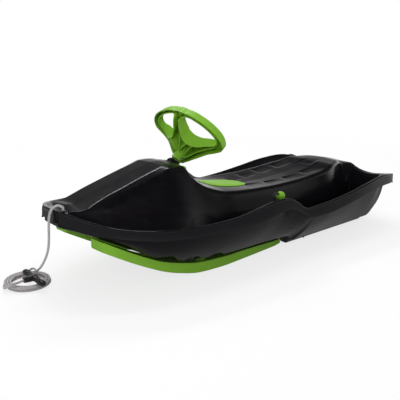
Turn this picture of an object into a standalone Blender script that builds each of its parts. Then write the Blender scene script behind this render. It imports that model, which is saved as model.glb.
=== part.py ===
# Steering sled: a two shell plastic sled with a steered pair of skis under the nose,
# a half moon steering wheel on an inclined column, two hand brakes and a pull cord on a reel.
# Metres, +X to the nose, +Y to the rider's left, +Z up, the floor at Z = 0.

import math

import bmesh
import bpy
import numpy as np
from mathutils import Matrix, Vector

# Sizes of the two shells
BODY_LENGTH = 1.150
HALF_WIDTH = 0.252
HOOD_TOP_Z = 0.285
WALL = 0.003
FIT_GAP = 0.0003
SHELL_CLEARANCE = 0.0010
RIM_TOP_WIDTH = 0.011
RIM_RADIUS = 0.0035
BAND_FLARE = 0.0020
SEAM_LAP = 0.009
WELL_FLOOR = 0.048
WELL_SIDE_GAP = 0.011
WELL_RADIUS = 0.007
RIDGE_RADIUS = 0.014
SIDE_BULGE = 0.007
STERN_NECK = 0.020
TRANSOM_X = 0.018
HULL_FLOOR = 0.010
KEEL_INNER = 0.108
KEEL_OUTER = 0.137
CHINE_Y = 0.168
CHINE_Z = 0.021
SCALLOP_HEIGHT = 0.0095
SCALLOP_GROWTH = 0.0032
SCALLOP_PITCH = 0.0773

NOSE = BODY_LENGTH / 2
STERN = -BODY_LENGTH / 2

# Places along the body, from its middle
HOOD_TOP_X = 0.215
COLUMN_FOOT_X = 0.180
HUMP_X = -0.010
DIP_X = -0.115
KEEL_STEP_X = -0.135
SKI_TIP_X = 0.508
SKI_TAIL_X = -0.118

# Rim half width, outside face of the band
RIM_WIDTH = [(STERN, HALF_WIDTH - 0.030), (STERN + 0.025, HALF_WIDTH - 0.023),
             (STERN + 0.080, HALF_WIDTH - 0.015), (STERN + 0.175, HALF_WIDTH - 0.004),
             (-0.300, HALF_WIDTH), (DIP_X, HALF_WIDTH - 0.003), (HUMP_X, HALF_WIDTH - 0.005),
             (0.110, HALF_WIDTH - 0.009), (0.240, HALF_WIDTH - 0.016), (NOSE - 0.235, HALF_WIDTH - 0.031),
             (NOSE - 0.175, HALF_WIDTH - 0.047), (NOSE - 0.115, HALF_WIDTH - 0.073), (NOSE - 0.075, 0.149),
             (NOSE - 0.048, 0.114), (NOSE - 0.031, 0.085), (NOSE - 0.017, 0.064), (NOSE - 0.005, 0.045),
             (NOSE, 0.036)]
# Height of the rim's top
RIM_HEIGHT = [(STERN, 0.172), (STERN + 0.075, 0.178), (STERN + 0.162, 0.172), (-0.306, 0.158),
              (-0.188, 0.147), (DIP_X - 0.005, 0.144), (DIP_X + 0.027, 0.151), (HUMP_X - 0.049, 0.171),
              (HUMP_X - 0.020, 0.186), (HUMP_X + 0.010, 0.191), (HUMP_X + 0.042, 0.190), (0.112, 0.178),
              (0.178, 0.170), (0.240, 0.169), (NOSE - 0.275, 0.170), (NOSE - 0.225, 0.172),
              (NOSE - 0.175, 0.177), (NOSE - 0.115, 0.185), (NOSE - 0.075, 0.194), (NOSE - 0.048, 0.204),
              (NOSE - 0.031, 0.212), (NOSE - 0.015, 0.218), (NOSE, 0.223)]
# Height of the band's lower edge, the seam between the shells
SEAM_HEIGHT = [(STERN, 0.142), (STERN + 0.068, 0.145), (STERN + 0.157, 0.142), (-0.310, 0.128),
               (-0.190, 0.115), (DIP_X, 0.117), (DIP_X + 0.025, 0.127), (HUMP_X - 0.040, 0.148),
               (HUMP_X, 0.158), (HUMP_X + 0.030, 0.155), (0.056, 0.149), (0.111, 0.146), (0.213, 0.144),
               (NOSE - 0.279, 0.144), (NOSE - 0.230, 0.147), (NOSE - 0.181, 0.151), (NOSE - 0.136, 0.158),
               (NOSE - 0.075, 0.169), (NOSE - 0.050, 0.174), (NOSE - 0.031, 0.180), (NOSE - 0.005, 0.190),
               (NOSE, 0.195)]
# The ridge: side edge of the hood's flat top, then down the hood's back and along the seat
RIDGE_Y = [(STERN, 0.036), (STERN + 0.055, 0.046), (STERN + 0.115, 0.074), (STERN + 0.165, 0.096),
           (STERN + 0.215, 0.108), (STERN + 0.265, 0.112), (-0.140, 0.110), (0.000, 0.107),
           (0.073, 0.105), (0.125, 0.100), (COLUMN_FOOT_X - 0.002, 0.090), (COLUMN_FOOT_X + 0.010, 0.082),
           (HOOD_TOP_X, 0.074), (0.256, 0.076), (0.294, 0.075), (NOSE - 0.190, 0.072),
           (NOSE - 0.120, 0.067), (NOSE - 0.075, 0.062), (NOSE - 0.050, 0.054), (NOSE - 0.032, 0.034),
           (NOSE - 0.020, 0.020), (NOSE, 0.010)]
RIDGE_Z = [(STERN, 0.178), (STERN + 0.020, 0.185), (STERN + 0.055, 0.195), (STERN + 0.115, 0.205),
           (STERN + 0.165, 0.205), (STERN + 0.215, 0.196), (STERN + 0.265, 0.192), (-0.240, 0.187),
           (-0.140, 0.185), (-0.060, 0.188), (0.000, 0.192), (0.073, 0.200), (0.125, 0.217),
           (COLUMN_FOOT_X - 0.002, HOOD_TOP_Z - 0.042), (COLUMN_FOOT_X + 0.010, HOOD_TOP_Z - 0.028),
           (HOOD_TOP_X, HOOD_TOP_Z - 0.001), (0.256, HOOD_TOP_Z), (0.294, HOOD_TOP_Z - 0.010),
           (0.324, HOOD_TOP_Z - 0.019), (NOSE - 0.190, HOOD_TOP_Z - 0.035), (NOSE - 0.120, 0.230),
           (NOSE - 0.075, 0.219), (NOSE - 0.050, 0.215), (NOSE - 0.032, 0.212), (NOSE - 0.015, 0.2175),
           (NOSE, 0.222)]
# How far the middle stands above the ridge: a crown on the hood, a dish in the seat
CROWN = [(STERN, 0.004), (STERN + 0.055, 0.004), (STERN + 0.165, 0.002), (-0.300, -0.004),
         (-0.080, -0.014),
         (0.000, -0.008), (0.073, 0.004), (0.125, 0.005), (COLUMN_FOOT_X, 0.008), (HOOD_TOP_X, 0.009),
         (0.294, 0.008), (NOSE - 0.190, 0.006), (NOSE - 0.075, 0.006), (NOSE - 0.050, 0.008),
         (NOSE - 0.030, 0.001), (NOSE, 0.000)]
# Foot of the hood's flank and of the seat's side, and the floor height of the leg well beside it
FOOT_Y = [(STERN, 0.070), (STERN + 0.060, 0.082), (STERN + 0.115, 0.100), (STERN + 0.215, 0.130),
          (-0.200, 0.134), (0.100, 0.134), (0.200, 0.158), (0.280, 0.176), (NOSE - 0.215, 0.176),
          (NOSE - 0.175, 0.162), (NOSE - 0.115, 0.138), (NOSE - 0.075, 0.110), (NOSE - 0.048, 0.078),
          (NOSE - 0.031, 0.052), (NOSE - 0.017, 0.036), (NOSE, 0.020)]
WELL_DEPTH = [(STERN + 0.024, 0.0), (STERN + 0.056, 1.0), (0.180, 1.0), (0.300, 0.25), (0.370, 0.0)]
STERN_RIM = [(0.000, 0.183), (0.050, 0.183), (0.088, 0.168), (0.114, 0.163), (0.142, 0.161),
             (0.185, 0.166), (0.222, 0.172)]
STERN_LIP = 0.016

# Lower edge of the hull's side over the skis
EDGE_Y = [(KEEL_STEP_X, 0.166), (0.000, 0.172), (0.200, 0.180), (0.330, 0.180), (NOSE - 0.175, 0.172),
          (NOSE - 0.136, 0.156), (NOSE - 0.075, 0.118), (NOSE - 0.048, 0.086), (NOSE - 0.020, 0.050),
          (NOSE, 0.030)]
EDGE_Z = [(KEEL_STEP_X, 0.026), (KEEL_STEP_X + 0.030, 0.037), (0.000, 0.044), (0.100, 0.048),
          (0.190, 0.053), (0.224, 0.058), (0.307, 0.076), (NOSE - 0.184, 0.104), (NOSE - 0.141, 0.124),
          (NOSE - 0.075, 0.154), (NOSE - 0.048, 0.167), (NOSE - 0.020, 0.181), (NOSE, 0.188)]
# Height of the hull's underside between its side edges, level round the skis' posts
RECESS_Z = [(KEEL_STEP_X, 0.026), (-0.060, 0.030), (0.060, 0.035), (0.172, 0.0455), (0.228, 0.0455),
            (0.300, 0.0655), (0.347, 0.0855), (0.393, 0.1075), (0.436, 0.132), (0.477, 0.158),
            (SKI_TIP_X, 0.176), (NOSE - 0.040, 0.182), (NOSE, 0.188)]
SCALLOP_START = 0.159
SCALLOP_COUNT = 3

# Screws between the shells
SCREW_XS = ((-0.200, "front"), (-0.430, "rear"))
SCREW_Y = 0.055
SCREW_POST = 0.010
SCREW_MEET = 0.110

# Skis
SKI_INNER_Y = [(SKI_TAIL_X, 0.076), (0.100, 0.074), (0.300, 0.071), (SKI_TIP_X, 0.066)]
SKI_OUTER_Y = [(SKI_TAIL_X, 0.150), (0.000, 0.153), (0.150, 0.154), (0.300, 0.151), (0.430, 0.141),
               (0.480, 0.132),
               (SKI_TIP_X, 0.119)]
# Height of the running face, and of the side walls above it
SKI_BOTTOM_Z = [(SKI_TAIL_X, 0.0025), (SKI_TAIL_X + 0.030, 0.0), (0.112, 0.0), (0.172, 0.0029),
                (0.229, 0.0082),
                (0.299, 0.0259), (0.347, 0.0433), (0.393, 0.0652), (0.436, 0.0878), (0.477, 0.1110),
                (SKI_TIP_X, 0.1290)]
SKI_SIDE = [(SKI_TAIL_X, 0.016), (0.070, 0.027), (0.229, 0.030), (0.300, 0.029), (0.392, 0.026),
            (SKI_TIP_X, 0.026)]
SKI_TOP_PLATE = 0.006
KINGPIN_X = 0.200
KINGPIN_Y = 0.110
POST_RADIUS = 0.014
POST_TOP = 0.104

# Arms on the skis' posts and the bar that ties them
ARM_LENGTH = 0.106
ARM_THICK = 0.004
ARM_SLOT = 0.0033
ARM_Z = POST_TOP + FIT_GAP
TIE_Z = ARM_Z + ARM_THICK + FIT_GAP
TIE_THICK = 0.005
FORK_THICK = 0.004
PIN_RADIUS = 0.003

# Steering column and wheel
COLUMN_ANGLE = math.radians(40.0)
COLUMN_X = 0.180
COLUMN_Z = HOOD_TOP_Z + 0.002
SHAFT_RADIUS = 0.0065
SHAFT_UP = 0.040
SHAFT_DOWN = 0.196
BEARING_AT = 0.137
BEARING_FOOT = 0.036
BUSH_WALL = 0.004
COLLAR_RADIUS = 0.021
CRANK = 0.040
CRANK_PIN = 0.030
REST_TURN = math.radians(9.2)
WHEEL_HALF_WIDTH = 0.1445
WHEEL_RISE = 0.091
WHEEL_POWER = 1.55
WHEEL_RIM = 0.029
WHEEL_DEPTH = 0.022
WHEEL_SKIN = 0.0035
WHEEL_TILT = 0.500
WHEEL_CENTRE_X = 0.1260
WHEEL_CENTRE_Z = HOOD_TOP_Z + 0.080
HUB_TOP_RADIUS = 0.024
HUB_FOOT_RADIUS = 0.015
SPOKE_WIDTH = 0.024
CROSS_BOLT_RADIUS = 0.003

# Oval insert in front of the seat
OVAL_X = 0.012
OVAL_LENGTH = 0.176
OVAL_WIDTH = 0.096
OVAL_THICKNESS = 0.003
OVAL_CLEARANCE = 0.0009

# Brakes
BRAKE_Y = 0.153
BRAKE_X = -0.150
BRAKE_Z = 0.080
BRAKE_ROD = 0.004
KNOB_RADIUS = 0.0125
KNOB_X = -0.0145
KNOB_Y = HALF_WIDTH - 0.035
KNOB_Z = 0.192
CLAW_WIDTH = 0.016
CLAW_REACH = 0.052
CLAW_TIP_Z = 0.008
SLOT_WIDTH = 0.012

# Pull cord and its reel
CORD_DIAMETER = 0.006
EXIT_X = 0.556
EXIT_Y = 0.044
EYELET_RADIUS = 0.0072
REEL_X = 0.440
REEL_RADIUS = 0.038
REEL_HEIGHT = 0.030
WOUND_RADIUS = 0.0265
LEAD_Y = WOUND_RADIUS + CORD_DIAMETER / 2 + FIT_GAP
LEAD_Z = 0.01225
COIL_X = 0.600
COIL_Y = -0.094
COIL_OUTER = 0.059
COIL_PITCH = 0.0068
COIL_LOOPS = 5.25
COIL_START = math.radians(250.0)
COIL_LAYER = 0.0066
COIL_FLOOR_GAP = 0.0006
HANDLE_X = 0.592
HANDLE_Y = -0.073
HANDLE_LENGTH = 0.116
HANDLE_WIDTH = 0.020
HANDLE_THICK = 0.015
HANDLE_STEM = 0.028
HANDLE_Z = COIL_LAYER + CORD_DIAMETER + COIL_FLOOR_GAP + 0.0006 + HANDLE_THICK / 2 * 1.08


# Helpers
def clear_scene():
    for obj in list(bpy.data.objects):
        bpy.data.objects.remove(obj, do_unlink=True)


def smooth_curve(points):
    """Smooth line through hand chosen points that never overshoots them."""
    px = np.array([p[0] for p in points], float)
    py = np.array([p[1] for p in points], float)
    step = np.diff(px)
    slope = np.diff(py) / step
    tangent = np.zeros(len(px))
    for i in range(1, len(px) - 1):
        if slope[i - 1] * slope[i] > 0:
            w1 = 2 * step[i] + step[i - 1]
            w2 = step[i] + 2 * step[i - 1]
            tangent[i] = (w1 + w2) / (w1 / slope[i - 1] + w2 / slope[i])
    tangent[0] = slope[0]
    tangent[-1] = slope[-1]

    def value(x):
        x = min(max(x, px[0]), px[-1])
        i = min(int(np.searchsorted(px, x, side="right")) - 1, len(step) - 1)
        t = (x - px[i]) / step[i]
        h00 = 2 * t ** 3 - 3 * t ** 2 + 1
        h10 = t ** 3 - 2 * t ** 2 + t
        h01 = -2 * t ** 3 + 3 * t ** 2
        h11 = t ** 3 - t ** 2
        return float(h00 * py[i] + h10 * step[i] * tangent[i] + h01 * py[i + 1]
                     + h11 * step[i] * tangent[i + 1])

    return value


def blend(a, b, t):
    return a + (b - a) * t


def rounded(points, radii, steps):
    """Polyline with each inner corner replaced by a bend of its own number of steps."""
    out = [Vector(points[0])]
    for i in range(1, len(points) - 1):
        corner = Vector(points[i])
        before = Vector(points[i - 1]) - corner
        after = Vector(points[i + 1]) - corner
        reach = min(radii[i], 0.42 * before.length, 0.42 * after.length)
        start = corner + before.normalized() * reach
        end = corner + after.normalized() * reach
        for k in range(steps[i] + 1):
            t = k / steps[i]
            out.append(start * (1 - t) ** 2 + corner * (2 * t * (1 - t)) + end * t ** 2)
    out.append(Vector(points[-1]))
    return out


def catmull(points, per_span):
    """Smooth curve through 3-D route points."""
    p = [np.array(q, float) for q in points]
    p = [2 * p[0] - p[1]] + p + [2 * p[-1] - p[-2]]
    out = []
    for i in range(1, len(p) - 2):
        for k in range(per_span):
            t = k / per_span
            out.append(0.5 * (2 * p[i] + (p[i + 1] - p[i - 1]) * t
                              + (2 * p[i - 1] - 5 * p[i] + 4 * p[i + 1] - p[i + 2]) * t ** 2
                              + (3 * p[i] - p[i - 1] - 3 * p[i + 1] + p[i + 2]) * t ** 3))
    out.append(p[-2])
    return out


def material(name, colour, roughness, metallic=0.0):
    made = bpy.data.materials.get(name)
    if made:
        return made
    made = bpy.data.materials.new(name)
    made.use_nodes = True
    shader = made.node_tree.nodes["Principled BSDF"]
    shader.inputs["Base Color"].default_value = (*colour, 1)
    shader.inputs["Roughness"].default_value = roughness
    shader.inputs["Metallic"].default_value = metallic
    made.diffuse_color = (*colour, 1)
    return made


def black_plastic():
    return material("black_plastic", (0.012, 0.011, 0.014), 0.22)


def inner_plastic():
    return material("inner_plastic", (0.03, 0.03, 0.032), 0.5)


def green_plastic():
    return material("green_plastic", (0.18, 0.40, 0.04), 0.32)


def steel():
    return material("steel", (0.55, 0.55, 0.57), 0.35, 1.0)


def nylon():
    return material("nylon", (0.75, 0.73, 0.68), 0.45)


def cord_fibre():
    return material("cord_fibre", (0.55, 0.53, 0.54), 0.7)


def shade(obj, angle=35):
    obj.data.shade_smooth()
    obj.data.set_sharp_from_angle(angle=math.radians(angle))


def finish(bm, name, mat, smooth=True, orient=True):
    if orient:
        bmesh.ops.recalc_face_normals(bm, faces=bm.faces)
    mesh = bpy.data.meshes.new(name)
    bm.to_mesh(mesh)
    bm.free()
    obj = bpy.data.objects.new(name, mesh)
    bpy.context.collection.objects.link(obj)
    obj.data.materials.append(mat)
    if smooth:
        shade(obj)
    return obj


def loft(bm, sections, closed=True, caps=True):
    """Skin between closed sections with the same number of points."""
    rings = [[bm.verts.new(p) for p in s] for s in sections]
    n = len(rings[0])
    for a, b in zip(rings, rings[1:]):
        for i in range(n if closed else n - 1):
            j = (i + 1) % n
            bm.faces.new((a[i], a[j], b[j], b[i]))
    if caps:
        bm.faces.new(list(reversed(rings[0])))
        bm.faces.new(rings[-1])
    return rings


def frame_on(direction):
    """Rotation that takes +Z to the given direction and keeps X near the vertical plane."""
    z = Vector(direction).normalized()
    side = Vector((0, 1, 0))
    if abs(z.dot(side)) > 0.99:
        side = Vector((1, 0, 0))
    x = side.cross(z).normalized()
    y = z.cross(x)
    return Matrix((x, y, z)).transposed()


def turned(bm, profile, segments, place=Matrix.Identity(4)):
    """Solid of revolution about Z from (radius, height) points; radius 0 closes the ends."""
    rings = []
    for radius, height in profile:
        if radius < 1e-6:
            rings.append([bm.verts.new(place @ Vector((0, 0, height)))])
        else:
            turns = [2 * math.pi * k / segments for k in range(segments)]
            rings.append([bm.verts.new(place @ Vector((radius * math.cos(a), radius * math.sin(a), height)))
                          for a in turns])
    for a, b in zip(rings, rings[1:]):
        for i in range(segments):
            j = (i + 1) % segments
            quad = [a[i % len(a)], a[j % len(a)], b[j % len(b)], b[i % len(b)]]
            unique = list(dict.fromkeys(quad))
            if len(unique) >= 3:
                bm.faces.new(unique)
    return rings


def ring(bm, profile, segments, place=Matrix.Identity(4)):
    """Closed ring about Z from a closed loop of (radius, height) points."""
    turned(bm, profile + [profile[0]], segments, place)
    bmesh.ops.remove_doubles(bm, verts=bm.verts, dist=1e-6)


def place_at(point, direction=(0, 0, 1)):
    return Matrix.Translation(Vector(point)) @ frame_on(direction).to_4x4()


def box(bm, low, high):
    corners = [Vector((x, y, z)) for x in (low[0], high[0]) for y in (low[1], high[1])
               for z in (low[2], high[2])]
    v = [bm.verts.new(c) for c in corners]
    for f in ((0, 1, 3, 2), (4, 6, 7, 5), (0, 4, 5, 1), (2, 3, 7, 6), (0, 2, 6, 4), (1, 5, 7, 3)):
        bm.faces.new([v[i] for i in f])


def cutter(bm, name):
    bmesh.ops.recalc_face_normals(bm, faces=bm.faces)
    mesh = bpy.data.meshes.new(name)
    bm.to_mesh(mesh)
    bm.free()
    obj = bpy.data.objects.new(name, mesh)
    bpy.context.collection.objects.link(obj)
    obj.hide_render = True
    obj.display_type = "WIRE"
    return obj


def combine(target, tool, operation="DIFFERENCE"):
    cut = target.modifiers.new(tool.name, "BOOLEAN")
    cut.operation = operation
    cut.solver = "EXACT"
    cut.object = tool


def tube(name, points, radius, mat, resolution=2):
    """Tube along a poly line, with closed ends."""
    curve = bpy.data.curves.new(name, "CURVE")
    curve.dimensions = "3D"
    curve.bevel_depth = radius
    curve.bevel_resolution = resolution
    curve.use_fill_caps = True
    spline = curve.splines.new("POLY")
    spline.points.add(len(points) - 1)
    for point, place in zip(spline.points, points):
        point.co = (*place, 1)
    obj = bpy.data.objects.new(name, curve)
    bpy.context.collection.objects.link(obj)
    obj.data.materials.append(mat)
    return obj


def rod(name, points, radius, mat, sides=10):
    """Round bar along a route, as a mesh that can be cut and joined."""
    points = [Vector(p) for p in points]
    ahead = (points[1] - points[0]).normalized()
    across = ahead.orthogonal().normalized()
    sections = []
    for i, point in enumerate(points):
        way = (points[min(i + 1, len(points) - 1)] - points[max(i - 1, 0)]).normalized()
        across = (across - way * across.dot(way)).normalized()
        other = way.cross(across)
        sections.append([point + across * (radius * math.cos(2 * math.pi * k / sides))
                         + other * (radius * math.sin(2 * math.pi * k / sides)) for k in range(sides)])
    bm = bmesh.new()
    loft(bm, sections)
    return finish(bm, name, mat)


# Shape of the shells as functions of the place along the body
rim_width = smooth_curve(RIM_WIDTH)
rim_height = smooth_curve(RIM_HEIGHT)
seam_height = smooth_curve(SEAM_HEIGHT)
ridge_y = smooth_curve(RIDGE_Y)
ridge_z = smooth_curve(RIDGE_Z)
crown = smooth_curve(CROWN)
foot_y = smooth_curve(FOOT_Y)
well_depth = smooth_curve(WELL_DEPTH)
stern_rim = smooth_curve(STERN_RIM)
edge_y = smooth_curve(EDGE_Y)
edge_base = smooth_curve(EDGE_Z)
recess_height = smooth_curve(RECESS_Z)
ski_inner = smooth_curve(SKI_INNER_Y)
ski_outer = smooth_curve(SKI_OUTER_Y)
ski_bottom = smooth_curve(SKI_BOTTOM_Z)
ski_side = smooth_curve(SKI_SIDE)


def edge_height(x):
    """Hull side's lower edge, with its row of scallops."""
    place = (x - SCALLOP_START) / SCALLOP_PITCH
    lift = 0.0
    if 0 < place < SCALLOP_COUNT:
        lift = (SCALLOP_HEIGHT + SCALLOP_GROWTH * place) * math.sin(math.pi * (place % 1.0)) ** 1.3
    return edge_base(x) + lift


def keel_blend(x):
    """0 over the skis, 1 along the rear keels."""
    t = min(max((KEEL_STEP_X + 0.006 - x) / 0.012, 0.0), 1.0)
    return t * t * (3 - 2 * t)


def stern_lift(x):
    """Rise of the hull's bottom into the transom."""
    t = min(max((STERN + 0.060 - x) / 0.040, 0.0), 1.0)
    return 0.022 * t * t


def stern_share(x):
    """0 along the body, 1 at the transom, where the hull stands in under the band."""
    t = min(max((STERN + 0.110 - x) / 0.085, 0.0), 1.0)
    return t * t * (3 - 2 * t)


def hull_top(x):
    """Upper edge of the hull, inside the deck's band and square to its plan outline."""
    slope = (rim_width(x + 0.004) - rim_width(x - 0.004)) / 0.008
    inset = (WALL + SHELL_CLEARANCE) * math.sqrt(1 + slope * slope)
    lap = min(SEAM_LAP, 0.30 * (rim_height(x) - seam_height(x)))
    return (max(rim_width(x) - inset - 0.001, 0.012), seam_height(x) + lap)


def hull_section(x):
    """Half section of the hull, from the middle of its bottom to its top edge."""
    k = keel_blend(x)
    lift = stern_lift(x)
    ey, ez = edge_y(x), edge_height(x)
    top_y, top_z = hull_top(x)
    neck_z = seam_height(x) - 0.0045
    ceiling = min(recess_height(x), top_z - 0.010)
    snout = min(max((x - NOSE + 0.110) / 0.045, 0.0), 1.0)
    ez = min(ez, blend(ez, neck_z - 0.004, snout))
    sole = min(ceiling, ez - 0.0005)
    over_ski = [(0, ceiling), (ey * 0.5, ceiling), (max(ey - 0.032, ey * 0.66), ceiling),
                (max(ey - 0.026, ey * 0.74), max(ez, ceiling) + 0.003), (max(ey - 0.006, ey * 0.92), ez),
                (ey, ez + 0.002)]
    keel = [(0, HULL_FLOOR), (KEEL_INNER, HULL_FLOOR), (KEEL_INNER + 0.004, 0), (KEEL_OUTER, 0),
            (KEEL_OUTER + 0.006, HULL_FLOOR - 0.001), (CHINE_Y, CHINE_Z)]
    low = [(blend(a[0], b[0], k), blend(a[1], b[1], k) + lift) for a, b in zip(over_ski, keel)]
    if snout > 0:
        plain = [(0, sole), (ey * 0.30, sole), (ey * 0.55, sole), (ey * 0.75, blend(sole, ez, 0.3)),
                 (ey * 0.90, blend(sole, ez, 0.7)), (ey, ez)]
        low = [(blend(a[0], b[0], snout), blend(a[1], b[1], snout)) for a, b in zip(low, plain)]
    corner_y, corner_z = low[-1]
    neck_y = top_y - 0.0015 * (1 - snout) - STERN_NECK * stern_share(x)
    bulge = SIDE_BULGE * (1 - snout)
    side = [(blend(corner_y, neck_y, t) + bulge * math.sin(math.pi * t), blend(corner_z, neck_z, t))
            for t in (0.3, 0.7)]
    flange_z = neck_z + blend(0.0055, 0.0015, stern_share(x))
    return low + side + [(neck_y, neck_z), (top_y, flange_z), (top_y, top_z)]


def hull_inside(x):
    """Height of the hull's inner face along its middle."""
    return hull_section(x)[0][1] + WALL


def hull_side_y(x, z):
    """Outside face of the hull's side at a height."""
    section = hull_section(x)
    ys = [p[0] for p in section[5:]]
    zs = [p[1] for p in section[5:]]
    return float(np.interp(z, zs, ys))


def well_floor(x):
    """Floor of the leg wells, clear of the hull that is raised over the skis."""
    rise = min(max((x - SCALLOP_START + 0.060) / 0.070, 0.0), 1.0)
    lip = edge_base(x) + 0.010 + (SCALLOP_HEIGHT + 0.004) * rise
    return max(WELL_FLOOR, max(lip, recess_height(x)) + 2 * WALL + SHELL_CLEARANCE)


def deck_height(x, y):
    """Height of the deck's outer face."""
    line = deck_section(x)
    return float(np.interp(abs(y), [p[0] for p in line], [p[1] for p in line]))


def deck_section(x):
    """Half section of the deck, from its middle to the lower edge of its band."""
    width = rim_width(x)
    top = rim_height(x)
    depth = well_depth(x)
    slant = min(math.hypot(1, (rim_width(x + 0.004) - rim_width(x - 0.004)) / 0.008), 2.0)
    lip, rim_bend = RIM_TOP_WIDTH * slant, RIM_RADIUS * slant
    stern = min(max((STERN + STERN_LIP + 0.024 - x) / 0.024, 0.0), 1.0)
    stern = stern * stern * (3 - 2 * stern)
    ry, rz = ridge_y(x), ridge_z(x)
    gutter = blend(0.012, 0.008, min(max((x - NOSE + 0.20) / 0.08, 0.0), 1.0))
    floor = blend(top - gutter, well_floor(x), depth)
    fy = min(foot_y(x), max(width - 0.036, width * 0.55))
    well_outer = hull_side_y(x, well_floor(x)) - WELL_SIDE_GAP
    oy = blend(max(width - 0.024, blend(fy, width, 0.30)), max(well_outer, fy + 0.020), depth)
    stand_in = STERN_NECK * 0.8 * stern_share(x)
    lip = min(lip, (width - oy) * 0.62) + stand_in
    if stand_in > 0:
        oy = min(oy, width - lip - 0.008)
        fy = min(fy, oy - 0.014)
    ry = min(ry, max(fy - 0.012, fy * 0.6))
    if x > NOSE - 0.04:
        t = min((x - NOSE + 0.04) / 0.018, 1.0)
        floor = blend(floor, top - 0.001, t)
        rz = blend(rz, top - 0.0008, t)
    centre = rz + crown(x)
    line = [(0, centre), (ry * 0.6, blend(centre, rz, 0.36))]
    bend = rounded([(ry * 0.6, blend(centre, rz, 0.36), 0), (ry, rz, 0), (fy, floor, 0), (oy, floor, 0),
                    (width - lip, top, 0), (width, top, 0),
                    (width + BAND_FLARE, seam_height(x), 0)],
                   [0, RIDGE_RADIUS, WELL_RADIUS, WELL_RADIUS, rim_bend, rim_bend, 0],
                   [0, 2, 1, 1, 1, 1, 0])
    side = bend[1:]
    # one more point on the long flank between the ridge and the foot
    flank_a, flank_b = side[2], side[3]
    bulge = (0.012 * (1 - abs(2 * depth - 1)) + 0.008) * min((flank_b - flank_a).length / 0.080, 1.0)
    out = Vector((flank_b.y - flank_a.y, flank_a.x - flank_b.x, 0)).normalized()
    if out.y < 0:
        out = -out
    side = side[:3] + [flank_a.lerp(flank_b, 0.45) + out * bulge * 0.988] + side[3:]
    line += [(p.x, p.y) for p in side]
    if stern > 0:
        band_at = len(line) - 1
        line = [(y, blend(z, stern_rim(min(y, 0.222)), stern) if i < band_at else z)
                for i, (y, z) in enumerate(line)]
    return line


def mirrored(section, x):
    """Whole row of points from right to left."""
    right = [Vector((x, -y, z)) for y, z in reversed(section)]
    left = [Vector((x, y, z)) for y, z in section[1:]]
    return right + left


def stations(points):
    """Rows along the body: pairs of (start, count) joined to the next start."""
    out = []
    for (a, n), (b, _) in zip(points, points[1:]):
        out += [blend(a, b, k / n) for k in range(n)]
    out.append(points[-1][0])
    return out


def inset_section(line, way):
    """The section moved one wall thickness inward with mitred corners; way 1 for the deck, -1 the hull."""
    points = [Vector(p) for p in line]
    sides = [(b - a).normalized() for a, b in zip(points, points[1:])]
    normals = [Vector((d.y, -d.x)) * way for d in sides]
    moved = [Vector((0, points[0].y - way * WALL))]
    for i in range(1, len(points) - 1):
        mid = (normals[i - 1] + normals[i]).normalized()
        moved.append(points[i] + mid * (WALL / max(mid.dot(normals[i]), 0.6)))
    moved.append(points[-1] + normals[-1] * WALL)
    for i in range(len(moved) - 1):
        along = points[i + 1] - points[i]
        if (moved[i + 1] - moved[i]).dot(along) < 0.05 * along.length_squared:
            middle = (moved[i] + moved[i + 1]) / 2
            if i > 0:
                moved[i] = middle - along * 0.03
            moved[i + 1] = middle + along * 0.03
    return [tuple(p) for p in moved]


def deck_grid(inner):
    """Rows of the deck's outer face, or of its inner face one wall behind it."""
    xs = stations([(STERN, 1), (STERN + STERN_LIP, 1), (STERN + 0.026, 2), (STERN + 0.058, 5),
                   (DIP_X - 0.010, 1), (DIP_X, 2), (HUMP_X - 0.035, 3),
                   (HUMP_X + 0.040, 2), (0.150, 4), (0.240, 5), (NOSE - 0.060, 3), (NOSE - 0.028, 3),
                   (NOSE - 0.009, 1), (NOSE, 0)])
    shrink = 1 - 2 * WALL / BODY_LENGTH if inner else 1.0
    rows = []
    for x in xs:
        line = deck_section(x)
        at_end = abs(x) > NOSE - WALL
        rows.append(mirrored(inset_section(line, 1) if inner else line, x * shrink if at_end else x))

    def band(row, x, seam):
        upper = [Vector((blend(p.x, x * shrink, 0.75), p.y, min(p.z, blend(p.z, seam, 0.12))))
                 for p in row]
        lower = [Vector((x * shrink, p.y, min(p.z, seam))) for p in row]
        return upper, lower

    back_upper, back_lower = band(rows[0], STERN - BAND_FLARE, seam_height(STERN))
    front_upper, front_lower = band(rows[-1], NOSE + BAND_FLARE, seam_height(NOSE))
    return [back_lower, back_upper] + rows + [front_upper, front_lower]


def shell(name, outside, inside, mat, flip):
    """Thin shell between two grids of rows with the same counts."""
    count, width = len(outside), len(outside[0])
    bm = bmesh.new()
    outer = [[bm.verts.new(p) for p in row] for row in outside]
    inner = [[bm.verts.new(p) for p in row] for row in inside]
    for i in range(count - 1):
        for j in range(width - 1):
            quad = (outer[i][j], outer[i + 1][j], outer[i + 1][j + 1], outer[i][j + 1])
            back = (inner[i][j], inner[i][j + 1], inner[i + 1][j + 1], inner[i + 1][j])
            bm.faces.new(tuple(reversed(quad)) if flip else quad)
            bm.faces.new(tuple(reversed(back)) if flip else back)
    border = [(0, j) for j in range(width)] + [(i, width - 1) for i in range(1, count)]
    border += [(count - 1, j) for j in range(width - 2, -1, -1)]
    border += [(i, 0) for i in range(count - 2, 0, -1)]
    for (a, b), (c, d) in zip(border, border[1:] + border[:1]):
        quad = (outer[a][b], outer[c][d], inner[c][d], inner[a][b])
        bm.faces.new(tuple(reversed(quad)) if flip else quad)
    return finish(bm, name, mat, orient=False)


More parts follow.
